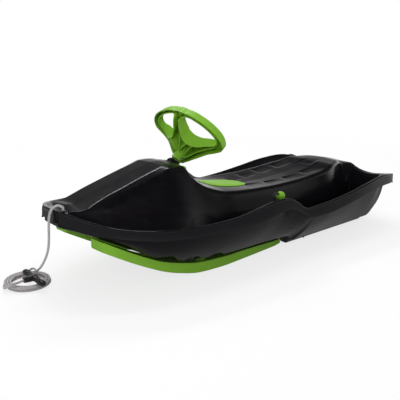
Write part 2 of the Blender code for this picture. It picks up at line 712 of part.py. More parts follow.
def wall_behind(rows):
    """Grid one wall behind a grid, square to its faces."""
    count, width = len(rows), len(rows[0])
    normals = [[Vector() for _ in row] for row in rows]
    for i in range(count - 1):
        for j in range(width - 1):
            face = (rows[i + 1][j + 1] - rows[i][j]).cross(rows[i][j + 1] - rows[i + 1][j])
            if face.length > 1e-12:
                for a, b in ((i, j), (i + 1, j), (i, j + 1), (i + 1, j + 1)):
                    normals[a][b] += face.normalized()
    return [[p - n.normalized() * (WALL * min(4 / n.length, 1.35) if n.length > 3 else WALL)
             for p, n in zip(row, row_normals)] for row, row_normals in zip(rows, normals)]


def make_deck():
    outside = deck_grid(False)
    inside = wall_behind(outside)
    ends = deck_grid(True)
    for i, row in enumerate(outside):
        if i < 3 or row[0].x > NOSE - 0.110:
            inside[i] = ends[i]
    return shell("deck_shell", outside, inside, black_plastic(), False)


def hull_grid(inner):
    """Rows of the hull's outer face, or of its inner face one wall behind it."""
    inset = WALL + SHELL_CLEARANCE + 0.002
    xs = stations([(STERN + TRANSOM_X + 0.006, 2), (STERN + 0.060, 4), (KEEL_STEP_X - 0.008, 2),
                   (KEEL_STEP_X + 0.008, 3), (SCALLOP_START, 4 * SCALLOP_COUNT),
                   (SCALLOP_START + SCALLOP_PITCH * SCALLOP_COUNT, 3), (NOSE - 0.070, 3),
                   (NOSE - 0.020, 2), (NOSE - inset - 0.003, 0)])
    thick = WALL if inner else 0.0
    rows = []
    for x in xs:
        line = hull_section(x)
        rows.append(mirrored(inset_section(line, -1) if inner else line,
                             x + (thick if x < STERN + 0.03 else 0)))

    def raised(row, x, height, narrow):
        return [Vector((x, p.y * narrow, max(p.z, height))) for p in row]

    top = rows[0][0].z
    seam = seam_height(STERN)
    foot = rows[0][len(rows[0]) // 2].z
    back = [raised(rows[0], STERN + TRANSOM_X + thick, blend(foot, seam, 0.25), 0.995),
            raised(rows[0], STERN + TRANSOM_X - 0.002 + thick, seam - 0.0045 + thick, 0.99),
            raised(rows[0], STERN + inset + thick, seam - 0.003 + thick, 0.972),
            raised(rows[0], STERN + inset + thick, top, 0.972)]
    front = [raised(rows[-1], NOSE - inset - thick, rows[-1][0].z, 0.84)]
    return list(reversed(back)) + rows + front


def make_hull():
    return shell("hull_shell", hull_grid(False), hull_grid(True), black_plastic(), True)


# Steering
def column_point(s):
    """Point on the column's axis, s metres down and forward from the hood."""
    return Vector((COLUMN_X + s * math.cos(COLUMN_ANGLE), 0, COLUMN_Z - s * math.sin(COLUMN_ANGLE)))


AXIS_DOWN = Vector((math.cos(COLUMN_ANGLE), 0, -math.sin(COLUMN_ANGLE)))
AXIS_UP = -AXIS_DOWN
CRANK_WAY = Vector((math.sin(COLUMN_ANGLE), 0, math.cos(COLUMN_ANGLE)))
STEER_RATIO = CRANK / ARM_LENGTH
SKI_TURN = REST_TURN * STEER_RATIO


def turn_with_wheel(obj):
    """Turns a piece made straight ahead to the wheel's angle at rest."""
    pivot = column_point(0)
    turn = Matrix.Translation(pivot) @ Matrix.Rotation(REST_TURN, 4, AXIS_UP) @ Matrix.Translation(-pivot)
    obj.matrix_world = turn @ obj.matrix_world


def wheel_plane():
    up = Vector((math.sin(WHEEL_TILT), 0, math.cos(WHEEL_TILT)))
    normal = Vector((-math.cos(WHEEL_TILT), 0, math.sin(WHEEL_TILT)))
    return Vector((WHEEL_CENTRE_X, 0, WHEEL_CENTRE_Z)), up, normal


def wheel_arch(angle, inset=0.0):
    """Point of the half moon rim, angle 0 at the left end and pi at the right."""
    centre, up, _ = wheel_plane()
    c, s = math.cos(angle), math.sin(angle)
    a = (WHEEL_HALF_WIDTH - inset) * math.copysign(abs(c) ** (2 / WHEEL_POWER), c)
    b = (WHEEL_RISE - inset) * abs(s) ** (2 / WHEEL_POWER)
    return centre + Vector((0, a, 0)) + up * b


def channel(width, depth, skin):
    """U channel outline, open to the front, across its path: (side, depth) points."""
    w, d = width / 2, depth
    return [(-w, 0.36 * d), (-0.62 * w, 0.02 * d), (0.62 * w, 0.02 * d), (w, 0.36 * d), (w, d),
            (w - skin, d), (w - skin, 0.4 * d), (0.52 * w, 0.04 * d + skin),
            (-0.52 * w, 0.04 * d + skin), (skin - w, 0.4 * d), (skin - w, d), (-w, d)]


def sweep(bm, path, face, outline):
    """Carries an outline along a path; face points to the rider's side."""
    sections = []
    for i, p in enumerate(path):
        ahead = path[min(i + 1, len(path) - 1)] - path[max(i - 1, 0)]
        ahead.normalize()
        side = ahead.cross(face).normalized()
        sections.append([p + side * a - face * b for a, b in outline])
    loft(bm, sections)


def make_wheel():
    centre, up, normal = wheel_plane()
    outline = channel(WHEEL_RIM, WHEEL_DEPTH, WHEEL_SKIN)
    mid = WHEEL_RIM / 2
    bm = bmesh.new()
    # the arch, turned in at both ends to meet the side spokes
    arch = []
    count = 22
    for k in range(count + 1):
        arch.append(wheel_arch(math.pi * k / count, mid))
    hub = column_point(-0.052)
    low = centre - up * 0.016
    left_in = [hub + Vector((0, 0.016, 0)), hub.lerp(low, 0.5) + Vector((0, 0.055, 0)),
               low + Vector((0, 0.105, 0)) + up * 0.002,
               low + Vector((0, WHEEL_HALF_WIDTH - mid - 0.014, 0)) + up * 0.006]
    right_in = [Vector((p.x, -p.y, p.z)) for p in left_in]
    inner = arch[1:-1]
    route = [tuple(p) for p in left_in + inner[::2] + right_in[::-1]]
    path = [Vector(p) for p in catmull(route, 2)]
    sweep(bm, path, normal, outline)
    rim = finish(bm, "steering_wheel", green_plastic())
    # centre spoke and the tapered boss on the column
    bm = bmesh.new()
    top = wheel_arch(math.pi / 2, WHEEL_RIM * 0.8)
    spoke = [tuple(hub), tuple(hub.lerp(top, 0.45) - normal * 0.012), tuple(top)]
    sweep(bm, [Vector(p) for p in catmull(spoke, 3)], normal,
          channel(SPOKE_WIDTH * 1.5, WHEEL_DEPTH * 0.8, WHEEL_SKIN))
    spoke_obj = cutter(bm, "wheel_spoke_tool")
    bm = bmesh.new()
    turned(bm, [(0, -0.078), (HUB_TOP_RADIUS * 0.8, -0.078), (HUB_TOP_RADIUS, -0.066),
                (HUB_TOP_RADIUS, -0.050),
                (0.019, -0.030), (HUB_FOOT_RADIUS, -0.010), (HUB_FOOT_RADIUS, 0.004), (0, 0.004)], 16,
           place_at(column_point(0), AXIS_DOWN))
    boss = cutter(bm, "wheel_boss_tool")
    bm = bmesh.new()
    turned(bm, [(0, -SHAFT_UP - FIT_GAP), (SHAFT_RADIUS + FIT_GAP, -SHAFT_UP - FIT_GAP),
                (SHAFT_RADIUS + FIT_GAP, 0.02), (0, 0.02)], 14, place_at(column_point(0), AXIS_DOWN))
    bore = cutter(bm, "wheel_bore_tool")
    bm = bmesh.new()
    turned(bm, [(0, -0.05), (CROSS_BOLT_RADIUS + FIT_GAP, -0.05), (CROSS_BOLT_RADIUS + FIT_GAP, 0.05),
                (0, 0.05)], 12,
           place_at(column_point(-0.006), (0, 1, 0)))
    bolt_hole = cutter(bm, "wheel_bolt_tool")
    combine(rim, spoke_obj, "UNION")
    combine(rim, boss, "UNION")
    combine(rim, bore)
    combine(rim, bolt_hole)
    for obj in (rim, spoke_obj, boss, bore, bolt_hole):
        turn_with_wheel(obj)
    return rim


def make_cross_bolt():
    head = CROSS_BOLT_RADIUS * 1.9
    reach = HUB_FOOT_RADIUS + 0.0006
    bm = bmesh.new()
    turned(bm, [(0, -reach - 0.0045), (CROSS_BOLT_RADIUS, -reach - 0.0045), (CROSS_BOLT_RADIUS, reach),
                (head, reach), (head, reach + 0.003), (head * 0.7,
                                                       reach + 0.0045), (0, reach + 0.0045)], 12,
           place_at(column_point(-0.006), (0, 1, 0)))
    bolt = finish(bm, "wheel_cross_bolt", steel())
    bm = bmesh.new()
    inner = (CROSS_BOLT_RADIUS + FIT_GAP) / math.cos(math.pi / 6)
    head = inner + 0.0028
    ring(bm, [(inner, -reach - 0.004), (head, -reach - 0.004), (head, -reach), (inner, -reach)], 6,
         place_at(column_point(-0.006), (0, 1, 0)))
    nut = finish(bm, "wheel_bolt_nut", steel(), smooth=False)
    for obj in (bolt, nut):
        turn_with_wheel(obj)


def make_shaft():
    """Column bar: straight through the hood, then a crank that stands up at its lower end."""
    down = AXIS_DOWN
    top = column_point(-SHAFT_UP)
    knee = column_point(SHAFT_DOWN)
    elbow = knee + CRANK_WAY * CRANK
    tip = elbow + down * CRANK_PIN
    bend = 0.011
    points = [top, column_point(SHAFT_DOWN - bend)]
    points += [knee + (-down * bend) * (1 - t) ** 2 + (CRANK_WAY * bend) * t ** 2 for t in (0.33, 0.67)]
    points += [knee + CRANK_WAY * bend, elbow - CRANK_WAY * bend]
    points += [elbow + (-CRANK_WAY * bend) * (1 - t) ** 2 + (down * bend) * t ** 2 for t in (0.33, 0.67)]
    points += [elbow + down * bend, tip]
    shaft = rod("steering_shaft", points, SHAFT_RADIUS, steel(), 12)
    bm = bmesh.new()
    turned(bm, [(0, -0.05), (CROSS_BOLT_RADIUS + FIT_GAP, -0.05), (CROSS_BOLT_RADIUS + FIT_GAP, 0.05),
                (0, 0.05)], 10,
           place_at(column_point(-0.006), (0, 1, 0)))
    hole = cutter(bm, "shaft_bolt_tool")
    combine(shaft, hole)
    bm = bmesh.new()
    inner = SHAFT_RADIUS + FIT_GAP
    ring(bm, [(inner, 0), (inner + 0.004, 0), (inner + 0.004, 0.0012), (inner, 0.0012)], 12,
         place_at(column_point(BEARING_AT + 0.0085), AXIS_DOWN))
    clip = finish(bm, "shaft_clip", steel())
    for obj in (shaft, hole, clip):
        turn_with_wheel(obj)


def collar_seat():
    """How far down the column the collar's flat underside can lie without touching the deck."""
    depth = 0.032
    while depth > 0.012:
        clear = True
        for k in range(16):
            for share in (0.55, 0.8, 1.0):
                angle = 2 * math.pi * k / 16
                p = (column_point(depth) + Vector((0, 1, 0)) * (COLLAR_RADIUS * share * math.cos(angle))
                     + CRANK_WAY * (COLLAR_RADIUS * share * math.sin(angle)))
                clear = clear and p.z > deck_height(p.x, p.y) + 0.0008
        if clear:
            return depth
        depth -= 0.0005
    return depth


def make_column_fittings(deck):
    """Bush and dome shaped collar where the column enters the hood."""
    inner = SHAFT_RADIUS + FIT_GAP
    outer = inner + BUSH_WALL
    bm = bmesh.new()
    turned(bm, [(0, -0.05), (outer + FIT_GAP, -0.05), (outer + FIT_GAP, 0.09), (0, 0.09)], 16,
           place_at(column_point(0), AXIS_DOWN))
    combine(deck, cutter(bm, "column_hole_tool"))
    bm = bmesh.new()
    ring(bm, [(inner, 0.007), (outer, 0.007), (outer, 0.056), (inner, 0.056)], 14,
         place_at(column_point(0), AXIS_DOWN))
    finish(bm, "upper_bush", nylon())
    bm = bmesh.new()
    bore = outer + FIT_GAP
    seat = collar_seat()
    ring(bm, [(bore, 0.009), (0.0150, 0.009), (0.0185, 0.0105), (COLLAR_RADIUS, seat - 0.003),
              (COLLAR_RADIUS, seat), (bore, seat)], 14, place_at(column_point(0), AXIS_DOWN))
    finish(bm, "column_collar", black_plastic())


def make_lower_bearing():
    """Bush at the column's lower end in a plate that stands on the hull."""
    inner = SHAFT_RADIUS + FIT_GAP
    outer = inner + BUSH_WALL
    centre = column_point(BEARING_AT)
    place = place_at(centre, AXIS_DOWN)
    bm = bmesh.new()
    ring(bm, [(inner, -0.007), (outer, -0.007), (outer, 0.007), (inner, 0.007)], 14, place)
    finish(bm, "lower_bush", nylon())
    drop = centre.z - hull_inside(centre.x + 0.004) - 0.0006
    eye = outer + 0.010
    profile = [(eye * math.cos(math.pi * k / 8), eye * math.sin(math.pi * k / 8)) for k in range(9)]
    profile += [(-BEARING_FOOT, 0.012 - drop), (-BEARING_FOOT, -drop), (BEARING_FOOT, -drop),
                (BEARING_FOOT, 0.012 - drop)]
    bm = bmesh.new()
    loft(bm, [[centre + Vector((x, y, z)) for y, z in profile] for x in (-0.004, 0.004)])
    bracket = finish(bm, "shaft_bracket", inner_plastic())
    bm = bmesh.new()
    turned(bm, [(0, -0.03), (outer + FIT_GAP, -0.03), (outer + FIT_GAP, 0.03), (0, 0.03)], 14, place)
    combine(bracket, cutter(bm, "bracket_bore_tool"))


def make_oval():
    """Oval insert that lies in the dip between the hood and the seat."""
    segments = 22
    rings = []
    for share in (1.0, 0.86, 0.5):
        rings.append([(OVAL_X + share * OVAL_LENGTH / 2 * math.cos(2 * math.pi * k / segments),
                       share * OVAL_WIDTH / 2 * math.sin(2 * math.pi * k / segments)) for k in range(segments)])

    bm = bmesh.new()
    lower = OVAL_CLEARANCE
    bottom = [[bm.verts.new((x, y, deck_height(x, y) + lower)) for x, y in r] for r in rings]
    crest = [[bm.verts.new((x, y, deck_height(x, y) + lower + OVAL_THICKNESS * rise)) for x, y in r]
             for r, rise in zip(rings, (0.45, 1.0, 1.15))]
    for stack in (bottom, crest):
        for a, b in zip(stack, stack[1:]):
            for i in range(segments):
                j = (i + 1) % segments
                bm.faces.new((a[i], a[j], b[j], b[i]))
    for i in range(segments):
        j = (i + 1) % segments
        bm.faces.new((bottom[0][i], bottom[0][j], crest[0][j], crest[0][i]))
    low_mid = bm.verts.new((OVAL_X, 0, deck_height(OVAL_X, 0) + lower))
    top_mid = bm.verts.new((OVAL_X, 0, deck_height(OVAL_X, 0) + lower + OVAL_THICKNESS * 1.2))
    for i in range(segments):
        j = (i + 1) % segments
        bm.faces.new((bottom[-1][i], bottom[-1][j], low_mid))
        bm.faces.new((crest[-1][i], crest[-1][j], top_mid))
    finish(bm, "oval_insert", green_plastic())


# Skis, arms and tie bar
def ski_top(x):
    return ski_bottom(x) + ski_side(x)


def kingpin(side):
    return Vector((KINGPIN_X, side * KINGPIN_Y, 0))


def turn_ski(obj, side):
    pivot = kingpin(side)
    obj.matrix_world = (Matrix.Translation(pivot) @ Matrix.Rotation(SKI_TURN, 4, "Z")
                        @ Matrix.Translation(-pivot) @ obj.matrix_world)


def make_ski(side, word):
    bm = bmesh.new()
    xs = stations([(SKI_TAIL_X, 2), (SKI_TAIL_X + 0.050, 3), (0.112, 4), (0.299, 5),
                   (SKI_TIP_X - 0.030, 2), (SKI_TIP_X, 0)])
    sections = []
    for x in xs:
        z, top = ski_bottom(x), ski_top(x)
        inner, outer = ski_inner(x), ski_outer(x)
        plate = top - SKI_TOP_PLATE
        points = [(inner + 0.003, z), (outer - 0.004, z), (outer, z + 0.004), (outer, top),
                  (outer - 0.004, top),
                  (outer - 0.006, plate), (inner + 0.006, plate), (inner + 0.004, top), (inner, top),
                  (inner, z + 0.003)]
        sections.append([Vector((x, side * y, h)) for y, h in points])
    loft(bm, sections)
    ski = finish(bm, "ski_" + word, green_plastic())
    bm = bmesh.new()
    base = ski_top(KINGPIN_X) - SKI_TOP_PLATE - 0.004
    shoulder = recess_height(KINGPIN_X) - 0.0025
    turned(bm, [(0, base), (POST_RADIUS + 0.010, base), (POST_RADIUS + 0.008, shoulder),
                (POST_RADIUS, shoulder),
                (POST_RADIUS, POST_TOP), (0, POST_TOP)], 16, Matrix.Translation(kingpin(side)))
    post = cutter(bm, "ski_post_tool_" + word)
    combine(ski, post, "UNION")
    bm = bmesh.new()
    turned(bm, [(0, POST_TOP - 0.022), (0.0025, POST_TOP - 0.022), (0.0025, POST_TOP + 0.01),
                (0, POST_TOP + 0.01)],
           12, Matrix.Translation(kingpin(side)))
    thread = cutter(bm, "ski_thread_tool_" + word)
    combine(ski, thread)
    for obj in (ski, post, thread):
        turn_ski(obj, side)


def bar_outline(a, b, width_a, width_b, steps=5):
    """Plan outline of a bar with round ends from a to b."""
    along = (b - a).normalized()
    side = Vector((-along.y, along.x, 0))
    out = []
    for k in range(steps + 1):
        t = math.pi * (k / steps - 0.5)
        out.append(b + along * (width_b * math.cos(t)) + side * (width_b * math.sin(t)))
    for k in range(steps + 1):
        t = math.pi * (k / steps - 0.5)
        out.append(a - along * (width_a * math.cos(t)) - side * (width_a * math.sin(t)))
    return out


def slab(bm, outline, low, high):
    loft(bm, [[Vector((p.x, p.y, low)) for p in outline], [Vector((p.x, p.y, high)) for p in outline]])


def make_arm(side, word, hull):
    pivot = kingpin(side)
    end = pivot + Vector((ARM_LENGTH, 0, 0))
    bm = bmesh.new()
    slab(bm, bar_outline(pivot, end, POST_RADIUS, 0.009), ARM_Z, ARM_Z + ARM_THICK)
    arm = finish(bm, "steering_arm_" + word, steel(), smooth=False)
    bm = bmesh.new()
    turned(bm, [(0, ARM_Z - 0.01), (PIN_RADIUS, ARM_Z - 0.01), (PIN_RADIUS, ARM_Z + 0.02),
                (0, ARM_Z + 0.02)], 12,
           Matrix.Translation(pivot))
    screw_hole = cutter(bm, "arm_screw_tool_" + word)
    combine(arm, screw_hole)
    bm = bmesh.new()
    slot = bar_outline(end - Vector((ARM_SLOT, 0, 0)), end + Vector((ARM_SLOT, 0, 0)), PIN_RADIUS + 0.0006,
                       PIN_RADIUS + 0.0006)
    slab(bm, slot, ARM_Z - 0.01, ARM_Z + 0.02)
    pin_hole = cutter(bm, "arm_pin_tool_" + word)
    combine(arm, pin_hole)
    bm = bmesh.new()
    radius = 0.0022
    head = ARM_Z + ARM_THICK + FIT_GAP
    turned(bm, [(0, POST_TOP - 0.020), (radius, POST_TOP - 0.020), (radius, head), (0.0075, head),
                (0.0075, head + 0.0025),
                (0.005, head + 0.004), (0, head + 0.004)], 12, Matrix.Translation(pivot))
    screw = finish(bm, "arm_screw_" + word, steel())
    # bush in the hull's recess for the ski's post
    ceiling = recess_height(KINGPIN_X)
    inner = POST_RADIUS + FIT_GAP
    bm = bmesh.new()
    ring(bm, [(inner, ceiling), (inner + 0.003, ceiling), (inner + 0.003, ceiling + WALL + FIT_GAP),
              (inner + 0.007, ceiling + WALL + FIT_GAP), (inner + 0.007, ceiling + 0.008),
              (inner, ceiling + 0.008)],
         16, Matrix.Translation(pivot))
    finish(bm, "ski_bush_" + word, nylon())
    bm = bmesh.new()
    turned(bm, [(0, ceiling - 0.02), (inner + 0.003 + FIT_GAP, ceiling - 0.02),
                (inner + 0.003 + FIT_GAP,
                 ceiling + 0.012), (0, ceiling + 0.012)], 16, Matrix.Translation(pivot))
    combine(hull, cutter(bm, "post_hole_tool_" + word))
    for obj in (arm, screw_hole, pin_hole, screw):
        turn_ski(obj, side)


def arm_end(side):
    pivot = kingpin(side)
    return pivot + Vector((ARM_LENGTH * math.cos(SKI_TURN), ARM_LENGTH * math.sin(SKI_TURN), 0))


def make_tie_bar():
    """Flat bar between the arms with a fork that stands up round the crank's pin."""
    left, right = arm_end(1), arm_end(-1)
    bm = bmesh.new()
    slab(bm, bar_outline(right, left, 0.008, 0.008), TIE_Z, TIE_Z + TIE_THICK)
    bar = finish(bm, "tie_bar", steel(), smooth=False)
    turn = Matrix.Rotation(REST_TURN, 3, AXIS_UP)
    pin = column_point(SHAFT_DOWN) + turn @ (CRANK_WAY * CRANK) + AXIS_DOWN * (CRANK_PIN * 0.7)
    low = TIE_Z + 0.001
    outline = [(left.x - 0.006, low), (left.x + 0.030, low), (pin.x + 0.018, pin.z - 0.026),
               (pin.x + 0.018, pin.z + 0.008), (pin.x + 0.004, pin.z + 0.018),
               (pin.x - 0.006, pin.z - 0.006),
               (pin.x - 0.026, pin.z - 0.036), (left.x - 0.006, low + 0.014)]
    for way, word in ((1, "a"), (-1, "b")):
        bm = bmesh.new()
        near = pin.y + way * (SHAFT_RADIUS + 0.0012)
        far = near + way * FORK_THICK
        loft(bm, [[Vector((a, y, b)) for a, b in outline] for y in (near, far)])
        combine(bar, cutter(bm, "fork_tool_" + word), "UNION")
    for point, word in ((left, "left"), (right, "right")):
        place = Matrix.Translation(Vector((point.x, point.y, 0)))
        hole = PIN_RADIUS + FIT_GAP
        bm = bmesh.new()
        turned(bm, [(0, TIE_Z - 0.01), (hole, TIE_Z - 0.01), (hole, TIE_Z + 0.02), (0, TIE_Z + 0.02)],
               10, place)
        combine(bar, cutter(bm, "tie_pin_tool_" + word))
        bm = bmesh.new()
        low_head = ARM_Z - FIT_GAP
        top = TIE_Z + TIE_THICK + FIT_GAP
        turned(bm, [(0, low_head - 0.002), (0.006, low_head - 0.002), (0.006, low_head),
                    (PIN_RADIUS, low_head),
                    (PIN_RADIUS, top), (0.006, top), (0.006, top + 0.0025), (0, top + 0.0025)], 10, place)
        finish(bm, "tie_pin_" + word, steel())


# Screws that hold the shells together, in posts under the seat
def make_shell_screws(deck, hull):
    hull_posts, deck_posts, hull_holes, deck_holes = bmesh.new(), bmesh.new(), bmesh.new(), bmesh.new()
    head_seat = HULL_FLOOR + 0.016
    for x, y, word in [(x, side * SCREW_Y, end + hand) for x, end in SCREW_XS for side,
                       hand in ((1, "_left"), (-1, "_right"))]:
        place = Matrix.Translation(Vector((x, y, 0)))
        under = deck_height(x, y) - WALL
        turned(hull_posts, [(0, HULL_FLOOR + 0.001), (SCREW_POST, HULL_FLOOR + 0.001),
                            (SCREW_POST, SCREW_MEET - 0.0006),
                            (0, SCREW_MEET - 0.0006)], 8, place)
        turned(hull_holes, [(0, -0.01), (0.0062, -0.01), (0.0062, head_seat), (0.0028, head_seat),
                            (0.0028, SCREW_MEET + 0.01),
                            (0, SCREW_MEET + 0.01)], 8, place)
        turned(deck_posts, [(0, SCREW_MEET), (SCREW_POST * 0.85, SCREW_MEET),
                            (SCREW_POST * 0.85, under + 0.001),
                            (0, under + 0.001)], 8, place)
        turned(deck_holes, [(0, SCREW_MEET - 0.01), (0.0028, SCREW_MEET - 0.01),
                            (0.0028, SCREW_MEET + 0.028),
                            (0, SCREW_MEET + 0.028)], 8, place)
        bm = bmesh.new()
        turned(bm, [(0, head_seat - 0.0038), (0.0052, head_seat - 0.0038), (0.0052, head_seat - FIT_GAP),
                        (0.0024, head_seat - FIT_GAP), (0.0024, SCREW_MEET + 0.022),
                        (0, SCREW_MEET + 0.024)], 8, place)
        finish(bm, "shell_screw_" + word, steel())
    combine(hull, cutter(hull_posts, "hull_post_tool"), "UNION")
    combine(hull, cutter(hull_holes, "hull_post_hole_tool"))
    combine(deck, cutter(deck_posts, "deck_post_tool"), "UNION")
    combine(deck, cutter(deck_holes, "deck_post_hole_tool"))


# Brakes
def make_brake(side, word, deck, hull):
    pivot = Vector((BRAKE_X, side * BRAKE_Y, BRAKE_Z))
    knob = Vector((KNOB_X, side * KNOB_Y, KNOB_Z))
    grip = knob + Vector((0.006, 0, 0.004))
    route = [tuple(pivot + Vector((0.006, 0, 0.004))),
             (BRAKE_X + 0.045, side * (BRAKE_Y + 0.006), BRAKE_Z + 0.040),
             (KNOB_X - 0.030, side * (KNOB_Y - 0.014), KNOB_Z - 0.036),
             (KNOB_X + 0.010, side * (KNOB_Y - 0.005), KNOB_Z - 0.024),
             (KNOB_X + 0.026, side * KNOB_Y, KNOB_Z - 0.004),
             (KNOB_X + 0.022, side * KNOB_Y, KNOB_Z + 0.012),
             tuple(grip + Vector((0, 0, 0.002)))]
    lever = rod("brake_lever_" + word, catmull(route[:-1], 2) + [route[-1]], BRAKE_ROD, steel(), 8)
    # flat claw plate and pivot eye joined to the rod
    half = CLAW_WIDTH / 2
    tip = Vector((BRAKE_X - CLAW_REACH, 0, CLAW_TIP_Z))
    eye = 0.011
    outline = [(BRAKE_X + eye * math.cos(a), BRAKE_Z + eye * math.sin(a))
               for a in [math.radians(d) for d in (-60, -30, 0, 30, 60, 90, 120, 150)]]
    outline += [(tip.x - half * 0.6, tip.z + 0.012), (tip.x - half * 0.2, tip.z),
                (tip.x + half * 0.8, tip.z + 0.003),
                (tip.x + half * 1.1, tip.z + 0.012)]
    bm = bmesh.new()
    thick = 0.0022
    loft(bm, [[Vector((a, side * BRAKE_Y - thick, b)) for a, b in outline],
              [Vector((a, side * BRAKE_Y + thick, b)) for a, b in outline]])
    combine(lever, cutter(bm, "claw_tool_" + word), "UNION")
    hole = PIN_RADIUS + FIT_GAP
    bm = bmesh.new()
    turned(bm, [(0, -0.02), (hole, -0.02), (hole, 0.02), (0, 0.02)], 12, place_at(pivot, (0, 1, 0)))
    combine(lever, cutter(bm, "lever_eye_tool_" + word))
    # ball knob with its socket
    bm = bmesh.new()
    bmesh.ops.create_uvsphere(bm, u_segments=12, v_segments=7, radius=KNOB_RADIUS,
                              matrix=Matrix.Translation(knob))
    ball = finish(bm, "brake_knob_" + word, green_plastic())
    bm = bmesh.new()
    inward = (Vector(route[-2]) - Vector(route[-1])).normalized()
    turned(bm, [(0, -0.004), (BRAKE_ROD + FIT_GAP, -0.004), (BRAKE_ROD + FIT_GAP, 0.03), (0, 0.03)], 12,
           place_at(Vector(route[-1]), inward))
    combine(ball, cutter(bm, "knob_socket_tool_" + word))
    # bracket on the well's floor, two cheeks on a foot
    floor = WELL_FLOOR + FIT_GAP
    bm = bmesh.new()
    low = pivot.y - 0.0088
    box(bm, (BRAKE_X - 0.020, low, floor), (BRAKE_X + 0.020, low + 0.0176, floor + 0.003))
    bracket = finish(bm, "brake_bracket_" + word, steel(), smooth=False)
    for way, letter in ((1, "a"), (-1, "b")):
        near = pivot.y + way * 0.0062
        far = pivot.y + way * 0.0086
        cheek = [(BRAKE_X - 0.016, floor + 0.001), (BRAKE_X + 0.016, floor + 0.001),
                 (BRAKE_X + 0.009, BRAKE_Z + 0.004),
                 (BRAKE_X, BRAKE_Z + 0.009), (BRAKE_X - 0.009, BRAKE_Z + 0.004)]
        bm = bmesh.new()
        loft(bm, [[Vector((a, near, b)) for a, b in cheek], [Vector((a, far, b)) for a, b in cheek]])
        combine(bracket, cutter(bm, "cheek_tool_" + word + letter), "UNION")
    bm = bmesh.new()
    turned(bm, [(0, -0.02), (hole, -0.02), (hole, 0.02), (0, 0.02)], 12, place_at(pivot, (0, 1, 0)))
    combine(bracket, cutter(bm, "bracket_pin_tool_" + word))
    slot_low = BRAKE_X - CLAW_REACH - half - 0.006
    slot_high = BRAKE_X + 0.006
    bm = bmesh.new()
    box(bm, (slot_low, pivot.y - SLOT_WIDTH / 2, -0.01),
        (slot_high, pivot.y + SLOT_WIDTH / 2, BRAKE_Z - 0.014))
    slot = cutter(bm, "brake_slot_tool_" + word)
    for piece in (deck, hull, bracket):
        combine(piece, slot)
    bm = bmesh.new()
    turned(bm, [(0, -0.0108), (0.005, -0.0108), (0.005, -0.0089), (PIN_RADIUS, -0.0089),
                (PIN_RADIUS, 0.0106), (0, 0.0106)],
           12, place_at(pivot, (0, 1, 0)))
    finish(bm, "brake_pin_" + word, steel())
    make_brake_spring(pivot, word)


def make_brake_spring(pivot, word):
    """Torsion spring round the pivot pin, beside the claw plate."""
    wire = 0.0005
    radius = PIN_RADIUS + 0.0022
    turns, steps = 2, 8
    points = []
    for k in range(turns * steps + 1):
        a = 2 * math.pi * k / steps
        points.append(pivot + Vector((radius * math.cos(a), 0.0032 + 0.0011 * k / steps,
                                      radius * math.sin(a))))
    tube("brake_spring_" + word, points, wire, steel(), 1)


# Reel and cord
def lip_height():
    """Highest point of the deck under the eyelet's flange."""
    reach = EYELET_RADIUS + 0.0005
    return max(deck_height(EXIT_X + reach * math.cos(a), EXIT_Y + reach * math.sin(a))
               for a in [2 * math.pi * k / 12 for k in range(12)])


def make_eyelet(deck):
    top = lip_height()
    inner = CORD_DIAMETER / 2 + 0.0004
    outer = inner + 0.0016
    flange = EYELET_RADIUS
    bm = bmesh.new()
    ring(bm, [(inner, -WALL - 0.004), (outer, -WALL - 0.004), (outer, 0.0008), (flange, 0.0008),
              (flange, 0.0022), (inner + 0.0006, 0.0028), (inner, 0.0020)], 14,
         Matrix.Translation(Vector((EXIT_X, EXIT_Y, top))))
    finish(bm, "cord_eyelet", inner_plastic())
    bm = bmesh.new()
    turned(bm, [(0, -0.03), (outer + FIT_GAP, -0.03), (outer + FIT_GAP, 0.02), (0, 0.02)], 14,
           Matrix.Translation(Vector((EXIT_X, EXIT_Y, top))))
    combine(deck, cutter(bm, "eyelet_tool"))


